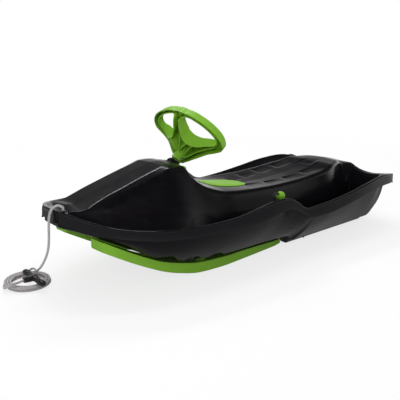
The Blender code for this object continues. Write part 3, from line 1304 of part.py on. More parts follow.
def make_reel():
    """Spring reel inside the nose: case, cover, axle, spool, wound cord and flat spring on a wedge seat."""
    base = reel_base()
    place = Matrix.Translation(Vector((REEL_X, 0, base)))
    wall = 0.002
    inner = REEL_RADIUS - wall
    height = REEL_HEIGHT
    axle = 0.004
    for x, word in ((REEL_X + 0.015, "front"), (REEL_X - 0.015, "rear")):
        bm = bmesh.new()
        turned(bm, [(0, -0.009), (0.0018, -0.009), (0.0018, wall + FIT_GAP), (0.0036, wall + FIT_GAP),
                    (0.0036, wall + 0.0016), (0, wall + 0.0016)], 8,
               Matrix.Translation(Vector((x, 0, base))))
        finish(bm, "reel_screw_" + word, steel())
    holes = bmesh.new()
    for x in (REEL_X - 0.015, REEL_X + 0.015):
        turned(holes, [(0, -0.010), (0.0018 + FIT_GAP, -0.010), (0.0018 + FIT_GAP, 0.01), (0, 0.01)], 8,
               Matrix.Translation(Vector((x, 0, base))))
    hole_tool = cutter(holes, "reel_screw_tool")
    bm = bmesh.new()
    xs = [REEL_X - 0.034 + 0.011 * i for i in range(7)]
    loft(bm, [[Vector((x, -0.020, hull_inside(x) + 0.0008)), Vector((x, 0.020, hull_inside(x) + 0.0008)),
               Vector((x, 0.020, base - FIT_GAP)), Vector((x, -0.020, base - FIT_GAP))] for x in xs])
    seat = finish(bm, "reel_seat", inner_plastic(), smooth=False)
    combine(seat, hole_tool)
    bm = bmesh.new()
    turned(bm, [(0, 0), (REEL_RADIUS, 0), (REEL_RADIUS, height), (inner, height), (inner, wall),
                (0, wall)], 20, place)
    case = finish(bm, "reel_case", inner_plastic())
    bm = bmesh.new()
    box(bm, (REEL_X + 0.008, LEAD_Y - 0.0050, base + LEAD_Z - 0.0045),
        (REEL_X + 0.045, LEAD_Y + 0.0045, base + LEAD_Z + 0.0045))
    combine(case, cutter(bm, "reel_mouth_tool"))
    combine(case, hole_tool)
    bm = bmesh.new()
    turned(bm, [(0, height + FIT_GAP), (REEL_RADIUS, height + FIT_GAP), (REEL_RADIUS, height + 0.002),
                (0, height + 0.002)], 20, place)
    finish(bm, "reel_cover", inner_plastic())
    bm = bmesh.new()
    turned(bm, [(0, wall + FIT_GAP), (axle, wall + FIT_GAP), (axle, height - FIT_GAP),
                (0, height - FIT_GAP)], 10, place)
    finish(bm, "reel_axle", steel())
    bm = bmesh.new()
    core = 0.020
    flange = inner - 0.0015
    ring(bm, [(axle + FIT_GAP, 0.0045), (flange, 0.0045), (flange, 0.006), (core, 0.006),
              (core, 0.0185), (flange, 0.0185),
              (flange, 0.020), (axle + FIT_GAP, 0.020)], 18, place)
    finish(bm, "reel_spool", nylon())
    bm = bmesh.new()
    ring(bm, [(core + FIT_GAP, 0.0065), (WOUND_RADIUS, 0.0065), (WOUND_RADIUS, 0.0180),
              (core + FIT_GAP, 0.0180)], 18, place)
    finish(bm, "wound_cord", cord_fibre())
    bm = bmesh.new()
    ring(bm, [(axle + 0.002, 0.0205), (0.026, 0.0205), (0.026, 0.0285), (axle + 0.002, 0.0285)], 14,
         place)
    finish(bm, "reel_spring", steel())


def reel_base():
    """Height of the reel case's underside, clear of the rising hull below it."""
    return hull_inside(REEL_X + REEL_RADIUS) + 0.003


# Route of the cord from the eyelet over the nose's edge and down onto the coil
CORD_ROUTE = [(0.5590, 0.0430, 0.2310), (0.5650, 0.0405, 0.2345), (0.5725, 0.0370, 0.2335),
              (0.5790, 0.0345, 0.2285), (0.5840, 0.0325, 0.2190), (0.5870, 0.0310, 0.2050),
              (0.5885, 0.0295, 0.1850), (0.5885, 0.0265, 0.1610), (0.5880, 0.0200, 0.1360),
              (0.5870, 0.0080, 0.1130), (0.5865, -0.0120, 0.0870), (0.5860, -0.0390, 0.0600),
              (0.5800, -0.0750, 0.0380), (0.5720, -0.1000, 0.0260), (0.5665, -0.1180, 0.0200),
              (0.5640, -0.1320, 0.0195), (0.5672, -0.1420, 0.0172)]
# Route of the cord inside the nose, between the reel and the eyelet
LEAD_ROUTE = [(0.5000, 0.0330, 0.1830), (0.5300, 0.0385, 0.1950), (0.5470, 0.0425, 0.1990)]
# Route of the tail from the coil's lower end up into the handle
TAIL_ROUTE = [(0.6625, -0.0950, 0.0062), (0.6665, -0.0790, 0.0125), (0.6620, -0.0700, 0.0185),
              (0.6500, -0.0690, 0.0215), (0.6360, -0.0705, 0.0208)]


def coil_points():
    """Loops that spiral in on top and out again on the floor beneath."""
    steps = 24
    total = round(COIL_LOOPS * steps)
    points = []
    for k in range(total + 1):
        angle = COIL_START + 2 * math.pi * k / steps
        inward = min(k, total - k) / steps
        radius = COIL_OUTER - COIL_PITCH * inward
        drop = min(max((k - total / 2 + steps / 4) / (steps / 2), 0.0), 1.0)
        layer = 1 - drop * drop * (3 - 2 * drop)
        height = CORD_DIAMETER / 2 + COIL_FLOOR_GAP + COIL_LAYER * layer
        points.append(Vector((COIL_X + radius * math.cos(angle), COIL_Y + radius * math.sin(angle),
                              height)))
    return points


def least_self_gap(points):
    """Least distance between stretches of the coil more than half a loop apart, less the diameter."""
    p = np.array([tuple(q) for q in points])
    least = 1.0
    for i in range(len(p)):
        for j in range(i + 12, len(p) - 1):
            a, b = p[j], p[j + 1]
            t = np.clip(np.dot(p[i] - a, b - a) / np.dot(b - a, b - a), 0, 1)
            least = min(least, float(np.linalg.norm(p[i] - a - t * (b - a))))
    return least - CORD_DIAMETER


def cord_line(start, start_way, route, end, end_way, per_span):
    """Points of a cord that leaves and arrives straight for one diameter."""
    middle = [tuple(start + start_way * CORD_DIAMETER)] + route + [tuple(end - end_way * CORD_DIAMETER)]
    return [tuple(start)] + catmull(middle, per_span) + [tuple(end)]


def make_cord():
    coil = coil_points()
    tube("cord_coil", coil, CORD_DIAMETER / 2, cord_fibre(), 1)
    print("least gap of the coil to itself:", round(least_self_gap(coil) * 1000, 2), "mm")
    into_coil = (coil[1] - coil[0]).normalized()
    arrive = coil[0] - into_coil * FIT_GAP
    exit_point = Vector((EXIT_X, EXIT_Y, lip_height() + 0.0031))
    up = Vector((0, 0, 1))
    tube("pull_cord", cord_line(exit_point, up, CORD_ROUTE, arrive, into_coil, 2), CORD_DIAMETER / 2,
         cord_fibre(), 2)
    out_of_coil = (coil[-1] - coil[-2]).normalized()
    leave = coil[-1] + out_of_coil * FIT_GAP
    stem = handle_mouth() + Vector((FIT_GAP, 0, 0))
    tail = cord_line(leave, out_of_coil, TAIL_ROUTE, stem, Vector((-1, 0, 0)), 2)
    tube("cord_tail", tail, CORD_DIAMETER / 2, cord_fibre(), 2)


def make_lead():
    """Stretch of cord inside the nose, from the reel to the underside of the eyelet."""
    height = reel_base() + LEAD_Z
    low = lip_height() - WALL - 0.004 - FIT_GAP
    line = cord_line(Vector((REEL_X + 0.004, LEAD_Y, height)), Vector((1, 0, 0)),
                     [(REEL_X + 0.034, LEAD_Y,
                       height)] + LEAD_ROUTE, Vector((EXIT_X, EXIT_Y, low)), Vector((0, 0, 1)), 2)
    tube("cord_lead", line, CORD_DIAMETER / 2, cord_fibre(), 2)


def handle_mouth():
    """Where the cord enters the handle's stem."""
    return Vector((HANDLE_X + HANDLE_STEM, HANDLE_Y, HANDLE_Z))


def make_handle():
    """T handle lying across the coil: a waisted bar with a stem that takes the cord."""
    sides = 12
    bm = bmesh.new()
    sections = []
    for share, swell in ((-1.0, 0.55), (-0.93, 0.86), (-0.72, 1.0), (-0.36, 0.84), (0.0, 1.08),
                         (0.36, 0.84), (0.72, 1.0),
                         (0.93, 0.86), (1.0, 0.55)):
        y = HANDLE_Y + share * HANDLE_LENGTH / 2
        sections.append([Vector((HANDLE_X
                                 + HANDLE_WIDTH / 2 * swell * math.cos(2 * math.pi * k / sides), y,
                                 HANDLE_Z + HANDLE_THICK / 2 * swell * math.sin(2 * math.pi * k / sides)))
                         for k in range(sides)])
    loft(bm, sections)
    handle = finish(bm, "pull_handle", black_plastic())
    bm = bmesh.new()
    turned(bm, [(0, 0.002), (0.0085, 0.002), (0.0080, HANDLE_STEM - 0.006), (0.0068, HANDLE_STEM),
                (0, HANDLE_STEM)], 14,
           place_at((HANDLE_X, HANDLE_Y, HANDLE_Z), (1, 0, 0)))
    combine(handle, cutter(bm, "handle_stem_tool"), "UNION")


def main():
    clear_scene()
    deck = make_deck()
    hull = make_hull()
    make_wheel()
    make_cross_bolt()
    make_shaft()
    make_column_fittings(deck)
    make_lower_bearing()
    make_oval()
    for side, word in ((1, "left"), (-1, "right")):
        make_ski(side, word)
        make_arm(side, word, hull)
        make_brake(side, word, deck, hull)
    make_tie_bar()
    make_shell_screws(deck, hull)
    make_eyelet(deck)
    make_reel()
    make_lead()
    make_cord()
    make_handle()


main()
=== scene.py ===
import math
import bmesh
import bpy
import numpy as np
from mathutils import Matrix, Vector


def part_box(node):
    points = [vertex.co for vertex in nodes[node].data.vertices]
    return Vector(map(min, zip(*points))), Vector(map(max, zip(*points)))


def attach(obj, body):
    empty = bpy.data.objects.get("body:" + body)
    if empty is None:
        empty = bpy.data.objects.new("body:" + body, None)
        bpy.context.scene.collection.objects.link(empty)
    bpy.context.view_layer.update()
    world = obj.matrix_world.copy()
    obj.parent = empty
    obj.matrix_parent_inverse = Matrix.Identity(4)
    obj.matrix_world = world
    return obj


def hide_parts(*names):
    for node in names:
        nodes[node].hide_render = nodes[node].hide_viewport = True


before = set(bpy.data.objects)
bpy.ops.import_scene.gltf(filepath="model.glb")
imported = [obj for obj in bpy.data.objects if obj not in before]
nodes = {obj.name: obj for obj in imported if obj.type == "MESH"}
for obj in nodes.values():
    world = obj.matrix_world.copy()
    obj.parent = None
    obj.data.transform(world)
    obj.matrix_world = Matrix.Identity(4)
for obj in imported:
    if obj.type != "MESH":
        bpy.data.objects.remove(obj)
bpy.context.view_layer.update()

scene = bpy.context.scene
print("frame loaded,", len(nodes), "nodes")

# Measures that several pieces share, in metres: x runs to the nose, y to the rider's left, z up
sled = {"length": 1.150, "hoodTop": 0.285, "wall": 0.003, "shellGap": 0.001, "sheet": 0.0026,
        "keelStep": -0.135, "skiTip": 0.508, "skiTail": -0.118, "wellFloor": 0.048, "seamLap": 0.009,
        "neck": 0.020, "slotX": (-0.216, -0.144), "slotY": (0.147, 0.159)}
nose = sled["length"] / 2
stern = -nose
white = (1, 1, 1, 1)


# Piecewise cubic through the points whose slopes are harmonic means, so it never overshoots
def monotoneLine(points):
    px, py = np.array(points, float).T
    step = np.diff(px)
    slope = np.diff(py) / step
    tangent = np.concatenate(([slope[0]], np.zeros(len(px) - 2), [slope[-1]]))
    w1 = 2 * step[1:] + step[:-1]
    w2 = step[1:] + 2 * step[:-1]
    same = slope[:-1] * slope[1:] > 0
    safe = np.where(same, slope[:-1], 1.0), np.where(same, slope[1:], 1.0)
    tangent[1:-1] = np.where(same, (w1 + w2) / (w1 / safe[0] + w2 / safe[1]), 0.0)

    def value(x):
        x = np.clip(np.asarray(x, float), px[0], px[-1])
        i = np.clip(np.searchsorted(px, x, side="right") - 1, 0, len(step) - 1)
        t = (x - px[i]) / step[i]
        return ((2 * t ** 3 - 3 * t ** 2 + 1) * py[i] + (t ** 3 - 2 * t ** 2 + t) * step[i] * tangent[i]
                + (3 * t ** 2 - 2 * t ** 3) * py[i + 1] + (t ** 3 - t ** 2) * step[i] * tangent[i + 1])

    return value


def mixed(a, b, t):
    return a + (b - a) * t


# 0 before start, 1 after end, and 3 t^2 - 2 t^3 between them
def smoothStep(x, start, end):
    t = np.clip((np.asarray(x, float) - start) / (end - start), 0, 1)
    return t * t * (3 - 2 * t)


# 0 before start, 1 from full to fade, 0 after end
def window(x, start, full, fade, end):
    return smoothStep(x, start, full) * (1 - smoothStep(x, fade, end))


# Catmull-Rom curve: half of 2b + (c-a)t + (2a-5b+4c-d)t^2 + (3b-a-3c+d)t^3 for each four rows a b c d
def throughPoints(points, perSpan, closed=False):
    p = np.array(points, float)
    if closed:
        p = np.vstack([p[-1:], p, p[:2]])
    else:
        p = np.vstack([2 * p[0] - p[1], p, 2 * p[-1] - p[-2]])
    a, b, c, d = p[:-3, None], p[1:-2, None], p[2:-1, None], p[3:, None]
    t = (np.arange(perSpan) / perSpan)[None, :, None]
    out = 0.5 * (2 * b + (c - a) * t + (2 * a - 5 * b + 4 * c - d) * t ** 2
                 + (3 * b - a - 3 * c + d) * t ** 3)
    out = out.reshape(-1, p.shape[1])
    return out if closed else np.vstack([out, p[-2]])


# Length along a line of points up to each of them
def runAlong(points):
    return np.concatenate(([0], np.cumsum(np.linalg.norm(np.diff(points, axis=0), axis=1))))


# The same line with its points spread evenly by length
def evenly(points, count):
    run = runAlong(points)
    places = np.linspace(0, run[-1], count)
    return np.stack([np.interp(places, run, points[:, k]) for k in range(points.shape[1])], axis=1)


# Quads of a grid of rows x cols points
def gridFaces(rows, cols, closedRows=False, closedCols=False):
    i = np.arange(rows if closedRows else rows - 1)[:, None]
    j = np.arange(cols if closedCols else cols - 1)[None, :]
    up, over = (i + 1) % rows, (j + 1) % cols
    quads = np.stack([i * cols + j, up * cols + j, up * cols + over, i * cols + over], axis=-1)
    return quads.reshape(-1, 4)


# A grid of points with its quads, turned over if asked, and its uv, as meshFrom takes them
def gridPart(grid, uv=None, flip=False, **closed):
    quads = gridFaces(*grid.shape[:2], **closed)
    return grid, quads[:, ::-1] if flip else quads, uv


# Smooth shading that keeps edges sharper than the angle in degrees
def smoothUnder(obj, degrees):
    obj.data.shade_smooth()
    obj.data.set_sharp_from_angle(angle=math.radians(degrees))


# Applies the modifiers
def settle(obj):
    graph = bpy.context.evaluated_depsgraph_get()
    fresh = bpy.data.meshes.new_from_object(obj.evaluated_get(graph), depsgraph=graph)
    old = obj.data
    obj.modifiers.clear()
    obj.data = fresh
    bpy.data.meshes.remove(old)


# Turns the faces of a closed mesh outwards
def facesOut(obj):
    bm = bmesh.new()
    bm.from_mesh(obj.data)
    bmesh.ops.recalc_face_normals(bm, faces=bm.faces)
    bm.to_mesh(obj.data)
    bm.free()


# One object from parts (points, quads, uv or None); keep picks faces by their centres
def meshFrom(name, parts, mat, smooth=50, weld=0.0, keep=None, outward=False):
    points, faces, uvs, start = [], [], [], 0
    for grid, quads, uv in parts:
        p = np.asarray(grid, float).reshape(-1, 3)
        points.append(p)
        faces.append(quads + start)
        uvs.append(p[:, :2] if uv is None else np.asarray(uv, float).reshape(-1, 2))
        start += len(p)
    points, faces, uvs = np.vstack(points), np.vstack(faces), np.vstack(uvs)
    if keep is not None:
        faces = faces[keep(points[faces].mean(axis=1))]
    mesh = bpy.data.meshes.new(name)
    mesh.vertices.add(len(points))
    mesh.vertices.foreach_set("co", points.ravel())
    mesh.loops.add(faces.size)
    mesh.loops.foreach_set("vertex_index", faces.ravel().astype(np.int32))
    mesh.polygons.add(len(faces))
    mesh.polygons.foreach_set("loop_start", np.arange(0, faces.size, 4, dtype=np.int32))
    mesh.update(calc_edges=True)
    layer = mesh.uv_layers.new(name="UVMap")
    layer.data.foreach_set("uv", uvs[faces.ravel()].ravel())
    mesh.validate()
    obj = bpy.data.objects.new(name, mesh)
    scene.collection.objects.link(obj)
    mesh.materials.append(mat)
    if weld:
        obj.modifiers.new("weld", "WELD").merge_threshold = weld
        settle(obj)
    smoothUnder(obj, smooth)
    if outward:
        facesOut(obj)
    return obj


# Gives a sheet its thickness behind its faces
def thicken(obj, depth):
    mod = obj.modifiers.new("wall", "SOLIDIFY")
    mod.thickness = depth
    mod.offset = -1.0
    mod.use_even_offset = True
    mod.thickness_clamp = 0.8
    settle(obj)


# Rows of corner lines (rows, corners, 2) whose inner corners c become bends from start to end,
# start (1-t)^2 + c 2t(1-t) + end t^2, and whose straight spans are divided
def roundedLines(lines, radii, steps, spans):
    out = [lines[:, :1]]
    last = lines[:, 0]
    for i in range(1, lines.shape[1]):
        corner = lines[:, i]
        if i < lines.shape[1] - 1 and steps[i]:
            before, after = lines[:, i - 1] - corner, lines[:, i + 1] - corner
            lb = np.linalg.norm(before, axis=1, keepdims=True) + 1e-9
            la = np.linalg.norm(after, axis=1, keepdims=True) + 1e-9
            reach = np.minimum(np.minimum(radii[i].reshape(-1, 1), 0.45 * lb), 0.45 * la)
            start, end = corner + before / lb * reach, corner + after / la * reach
            t = np.linspace(0, 1, steps[i] + 1)[None, :, None]
            bend = start[:, None] * (1 - t) ** 2 + corner[:, None] * (2 * t * (1 - t)) + end[:, None] * t ** 2
        else:
            start, end, bend = corner, corner, corner[:, None]
        t = (np.arange(1, spans[i]) / spans[i])[None, :, None]
        out.append(last[:, None] * (1 - t) + start[:, None] * t)
        out.append(bend)
        last = end
    return np.concatenate(out, axis=1)


# Corners, given as pairs of y and z for every row, put together as (rows, corners, 2)
def cornerLines(corners, one):
    return np.stack([np.stack([y * one, z * one], axis=1) for y, z in corners], axis=1)


# Whole rows from the right to the left side; half is (rows, points, 2) of y and z at each x
def bothSides(x, half):
    row = np.concatenate([half[:, ::-1] * (-1, 1), half[:, 1:]], axis=1)
    across = np.broadcast_to(np.asarray(x, float).reshape(-1, 1, 1), row.shape[:2] + (1,))
    return np.concatenate([across, row], axis=2)


# Places along the body from (start, count) pairs, each divided up to the next start
def rowPlaces(marks):
    out = [np.linspace(a, b, n, endpoint=False) for (a, n), (b, _) in zip(marks, marks[1:])]
    return np.concatenate(out + [[marks[-1][0]]])


# Camera at the photograph's angle; focal is in pixels of a frame that many pixels wide
cameraSetup = {"place": (1.14172870, 1.23075879, 0.612526968), "yaw": 0.704946890,
               "pitch": 0.277155598, "focal": 568.581476, "frame": 400, "sensor": 36.0}


def makeCamera():
    yaw, pitch = cameraSetup["yaw"], cameraSetup["pitch"]
    look = Vector((-math.sin(yaw) * math.cos(pitch), -math.cos(yaw) * math.cos(pitch), -math.sin(pitch)))
    right = look.cross(Vector((0, 0, 1))).normalized()
    up = right.cross(look)
    data = bpy.data.cameras.new("camera")
    data.sensor_width = cameraSetup["sensor"]
    data.lens = cameraSetup["focal"] / cameraSetup["frame"] * cameraSetup["sensor"]
    data.clip_start, data.clip_end = 0.02, 60
    camera = bpy.data.objects.new("camera", data)
    turn = Matrix((right, up, -look)).transposed().to_4x4()
    camera.matrix_world = Matrix.Translation(cameraSetup["place"]) @ turn
    scene.collection.objects.link(camera)
    scene.camera = camera


makeCamera()


# Sets sockets by name to numbers or colours, or links them where the value is another node's output
def feed(tree, sockets, values):
    for key, value in values.items():
        if hasattr(value, "links"):
            tree.links.new(value, sockets[key])
        else:
            sockets[key].default_value = value


def addNode(tree, kind, values=None, **settings):
    node = tree.nodes.new("ShaderNode" + kind)
    for key, value in settings.items():
        setattr(node, key, value)
    feed(tree, node.inputs, values or {})
    return node


def mathNode(tree, operation, a, b=None, clamp=False):
    values = {0: a} if b is None else {0: a, 1: b}
    return addNode(tree, "Math", values, operation=operation, use_clamp=clamp).outputs[0]


# Map Range of a value from low..high to toLow..toHigh
def ramp(tree, value, low, high, toLow=0.0, toHigh=1.0, **settings):
    ends = {"Value": value, "From Min": low, "From Max": high, "To Min": toLow, "To Max": toHigh}
    return addNode(tree, "MapRange", ends, **settings).outputs["Result"]


def noise(tree, place, scale, detail, roughness=0.5):
    values = {"Vector": place, "Scale": scale, "Detail": detail, "Roughness": roughness}
    return addNode(tree, "TexNoise", values).outputs["Fac"]


def mixColour(tree, mask, *colours):
    over = [c if hasattr(c, "links") else tuple(c) + (1.0,) for c in colours]
    node = addNode(tree, "Mix", {}, data_type="RGBA", clamp_factor=True)
    feed(tree, node.inputs, {0: mask, 6: over[0], 7: over[1]})
    return node.outputs[2]


def mixShader(tree, share, first, second):
    return addNode(tree, "MixShader", {0: share, 1: first, 2: second}).outputs[0]


# A group of number sockets: its tree, what it is given and what it puts out
def newGroup(name, inputs, outputs):
    group = bpy.data.node_groups.new(name, "ShaderNodeTree")
    for label, value in inputs.items():
        socket = group.interface.new_socket(name=label, in_out="INPUT", socket_type="NodeSocketFloat")
        socket.default_value = value
    for label in outputs:
        group.interface.new_socket(name=label, in_out="OUTPUT", socket_type="NodeSocketFloat")
    return group, group.nodes.new("NodeGroupInput").outputs, group.nodes.new("NodeGroupOutput").inputs


# Ends a group with the product of two masks and the amount, kept within 0 to 1
def endWithMask(group, out, a, b, amount):
    both = mathNode(group, "MULTIPLY", a, b)
    feed(group, out, {"Mask": mathNode(group, "MULTIPLY", both, amount, True)})
    return group


# Fine moulded grain and a slow waviness of the sheet, for bump and gloss
def makeGrain():
    sockets = {"Scale": 900.0, "Wave Scale": 14.0, "Wave Share": 0.8}
    group, given, out = newGroup("mouldGrain", sockets, ("Height", "Patch"))
    place = addNode(group, "TexCoord").outputs["Object"]
    fine = noise(group, place, given["Scale"], 2.0, 0.6)
    slow = noise(group, place, given["Wave Scale"], 2.0, 0.45)
    tall = mathNode(group, "MULTIPLY", slow, given["Wave Share"])
    feed(group, out, {"Height": mathNode(group, "ADD", tall, mathNode(group, "MULTIPLY", fine, 0.06)),
                      "Patch": slow})
    return group


# Thin scratches along the travel direction, broken up by a slow noise
def makeScuffs():
    group, given, out = newGroup("travelScuffs", {"Scale": 60.0, "Amount": 0.5}, ("Mask",))
    place = addNode(group, "TexCoord").outputs["Object"]
    stretch = addNode(group, "Mapping", {"Vector": place, "Scale": (0.06, 1.0, 1.0)}).outputs["Vector"]
    thin = ramp(group, noise(group, stretch, given["Scale"], 3.0, 0.7), 0.60, 0.72)
    some = ramp(group, noise(group, place, 6.0, 1.0), 0.48, 0.62)
    return endWithMask(group, out, thin, some, given["Amount"])


# Convex edges, broken by noise, where handling has polished or paled the plastic
def makeEdgeWear():
    group, given, out = newGroup("edgeWear", {"Start": 0.53, "Full": 0.62, "Amount": 0.5}, ("Mask",))
    place = addNode(group, "TexCoord").outputs["Object"]
    pointed = addNode(group, "NewGeometry").outputs["Pointiness"]
    convex = ramp(group, pointed, given["Start"], given["Full"])
    return endWithMask(group, out, convex, noise(group, place, 70.0, 3.0), given["Amount"])


# Dust in patches on surfaces that face up
def makeDust():
    group, given, out = newGroup("restingDust", {"Amount": 0.1}, ("Mask",))
    place = addNode(group, "TexCoord").outputs["Object"]
    normal = addNode(group, "NewGeometry").outputs["Normal"]
    up = addNode(group, "SeparateXYZ", {"Vector": normal}).outputs["Z"]
    patchy = ramp(group, noise(group, place, 30.0, 6.0, 0.7), 0.42, 0.75)
    return endWithMask(group, out, ramp(group, up, 0.2, 1.0), patchy, given["Amount"])


# Braid from the cord's own UV map: two crossing sets of strands, over and under; Shade is painted shade,
# darker where the strands lie low
def makeBraid():
    group, given, out = newGroup("cordBraid", {"Around": 8.0, "Along": 220.0}, ("Height", "Shade"))
    uv = addNode(group, "SeparateXYZ", {"Vector": addNode(group, "UVMap").outputs["UV"]}).outputs
    around = mathNode(group, "MULTIPLY", uv["X"], given["Around"])
    along = mathNode(group, "MULTIPLY", uv["Y"], given["Along"])
    waves = []
    for way in ("ADD", "SUBTRACT"):
        turn = mathNode(group, "MULTIPLY", mathNode(group, way, around, along), 2 * math.pi)
        waves.append(mathNode(group, "SINE", turn))
    over = mathNode(group, "ADD", mathNode(group, "MAXIMUM", waves[0], waves[1]), 1.0)
    lifted = mathNode(group, "MULTIPLY", over, 0.5)
    feed(group, out, {"Height": lifted, "Shade": mathNode(group, "POWER", lifted, 0.6, True)})
    return group


effects = {"grain": makeGrain(), "scuffs": makeScuffs(), "wear": makeEdgeWear(), "dust": makeDust(),
           "braid": makeBraid()}


# Places a group in a material with its own values, and gives what it puts out
def effect(tree, name, values=None):
    return addNode(tree, "Group", values, node_tree=effects[name]).outputs


def newMaterial(name):
    mat = bpy.data.materials.new(name)
    mat.use_nodes = True
    return mat, mat.node_tree, mat.node_tree.nodes["Principled BSDF"].inputs


def bumpFrom(tree, height, strength, distance):
    values = {"Strength": strength, "Distance": distance, "Height": height}
    return addNode(tree, "Bump", values).outputs["Normal"]


# Plastics: base, patchy and worn colour, span of roughness, size and height of the grain and the slow
# waves, and how strong wear, scuffs, dust and clear coat are
finishes = {
    "sledBlack": {"base": (0.0042, 0.0036, 0.0050), "patch": (0.0056, 0.0048, 0.0066),
                  "worn": (0.045, 0.042, 0.047), "rough": (0.17, 0.24), "specular": 0.26,
                  "bump": 0.035, "grain": 1400.0, "wave": 9.0, "waveShare": 0.5,
                  "wear": 0.06, "scuff": 0.30, "dust": 0.015, "coat": 0.0},
    "sledGreen": {"base": (0.195, 0.450, 0.022), "patch": (0.215, 0.485, 0.028),
                  "worn": (0.30, 0.55, 0.12), "rough": (0.34, 0.46), "specular": 0.32,
                  "bump": 0.06, "grain": 1200.0, "wave": 16.0, "waveShare": 0.5,
                  "wear": 0.14, "scuff": 0.3, "dust": 0.02, "coat": 0.03},
    "innerBlack": {"base": (0.022, 0.022, 0.024), "patch": (0.030, 0.030, 0.033),
                   "worn": (0.07, 0.07, 0.07), "rough": (0.50, 0.62), "specular": 0.4,
                   "bump": 0.2, "grain": 700.0, "wave": 20.0, "waveShare": 0.3,
                   "wear": 0.0, "scuff": 0.2, "dust": 0.05, "coat": 0.0},
    "gripBlack": {"base": (0.014, 0.013, 0.015), "patch": (0.020, 0.019, 0.021),
                  "worn": (0.08, 0.078, 0.08), "rough": (0.30, 0.42), "specular": 0.5,
                  "bump": 0.15, "grain": 1100.0, "wave": 40.0, "waveShare": 0.4,
                  "wear": 0.3, "scuff": 0.0, "dust": 0.03, "coat": 0.1},
    "dryNylon": {"base": (0.68, 0.66, 0.60), "patch": (0.74, 0.72, 0.67),
                 "worn": (0.5, 0.48, 0.42), "rough": (0.45, 0.55), "specular": 0.45,
                 "bump": 0.1, "grain": 900.0, "wave": 30.0, "waveShare": 0.4,
                 "wear": 0.0, "scuff": 0.1, "dust": 0.02, "coat": 0.0}}
# What the plastics share: span of the patches, how far scuffs pale and dull them, height of the bump
plasticLook = {"patches": (0.3, 0.7), "scuffPale": 0.35, "scuffDull": 0.25, "bumpHeight": 0.001,
               "coatRough": 0.12, "dust": (0.42, 0.41, 0.40)}


def grainOf(tree, look):
    return effect(tree, "grain", {"Scale": look["grain"], "Wave Scale": look["wave"],
                                  "Wave Share": look["waveShare"]})


# Moulded plastic: patchy colour, paler scuffs and worn edges, dust on top, grain and waves
def mouldedMaterial(name):
    look, shared = finishes[name], plasticLook
    mat, tree, shader = newMaterial(name)
    grain = grainOf(tree, look)
    colour = mixColour(tree, grain["Patch"], look["base"], look["patch"])
    rough = ramp(tree, grain["Patch"], *shared["patches"], *look["rough"])
    if look["scuff"]:
        scuffs = effect(tree, "scuffs", {"Amount": look["scuff"]})["Mask"]
        paler = mathNode(tree, "MULTIPLY", scuffs, shared["scuffPale"])
        duller = mathNode(tree, "MULTIPLY", scuffs, shared["scuffDull"])
        colour = mixColour(tree, paler, colour, look["worn"])
        rough = mathNode(tree, "ADD", rough, duller, True)
    if look["wear"]:
        wear = effect(tree, "wear", {"Amount": look["wear"]})["Mask"]
        colour = mixColour(tree, wear, colour, look["worn"])
    dust = effect(tree, "dust", {"Amount": look["dust"]})["Mask"]
    feed(tree, shader, {"Base Color": mixColour(tree, dust, colour, shared["dust"]),
                        "Roughness": mathNode(tree, "ADD", rough, dust, True),
                        "Normal": bumpFrom(tree, grain["Height"], look["bump"], shared["bumpHeight"]),
                        "Specular IOR Level": look["specular"], "Coat Weight": look["coat"],
                        "Coat Roughness": shared["coatRough"]})
    return mat


metalLook = {"base": (0.50, 0.50, 0.53), "stain": (0.34, 0.33, 0.31), "rough": 0.18, "cloudy": 0.22,
             "lined": 0.2, "grain": 500.0, "wave": 60.0, "waveShare": 0.6, "drawn": (240.0, 0.8),
             "bump": (0.12, 0.0006)}


# Zinc plated steel: bright metal with a cloudy plating and faint drawn lines
def zincMaterial():
    look = metalLook
    mat, tree, shader = newMaterial("zincSteel")
    grain = grainOf(tree, look)
    drawn = effect(tree, "scuffs", {"Scale": look["drawn"][0], "Amount": look["drawn"][1]})["Mask"]
    rough = mathNode(tree, "ADD", mathNode(tree, "MULTIPLY", grain["Patch"], look["cloudy"]),
                     mathNode(tree, "MULTIPLY", drawn, look["lined"]))
    feed(tree, shader, {"Base Color": mixColour(tree, grain["Patch"], look["base"], look["stain"]),
                        "Roughness": mathNode(tree, "ADD", rough, look["rough"], True),
                        "Normal": bumpFrom(tree, grain["Height"], *look["bump"]), "Metallic": 1.0})
    return mat


# Black painted steel: the grip's black over metal that shows on rubbed edges
def paintedMaterial():
    mat = gripPlastic.copy()
    mat.name = "blackPaint"
    tree = mat.node_tree
    rubbed = effect(tree, "wear", {"Start": 0.54, "Full": 0.64, "Amount": 0.9})["Mask"]
    feed(tree, tree.nodes["Principled BSDF"].inputs, {"Metallic": rubbed})
    return mat


# gap is the colour of the painted shade in the braid's low places
ropeLook = {"base": (0.50, 0.47, 0.485), "gap": (0.20, 0.185, 0.19), "faded": (0.62, 0.60, 0.60),
            "fading": 0.25, "rough": 0.62, "sheen": 0.25, "grain": 2600.0, "wave": 45.0,
            "waveShare": 0.8, "fuzz": 0.3, "bump": (0.7, 0.0005)}


# Braided synthetic cord: pale strands over painted shade in the gaps between them, raised by the braid's
# height
def cordMaterial():
    look = ropeLook
    mat, tree, shader = newMaterial("braidedCord")
    braid, grain = effect(tree, "braid"), grainOf(tree, look)
    shadedStrands = mixColour(tree, braid["Shade"], look["gap"], look["base"])
    faded = mathNode(tree, "MULTIPLY", grain["Patch"], look["fading"])
    relief = mathNode(tree, "ADD", braid["Height"], mathNode(tree, "MULTIPLY", grain["Height"], look["fuzz"]))
    feed(tree, shader, {"Base Color": mixColour(tree, faded, shadedStrands, look["faded"]),
                        "Normal": bumpFrom(tree, relief, *look["bump"]),
                        "Roughness": look["rough"], "Sheen Weight": look["sheen"]})
    return mat


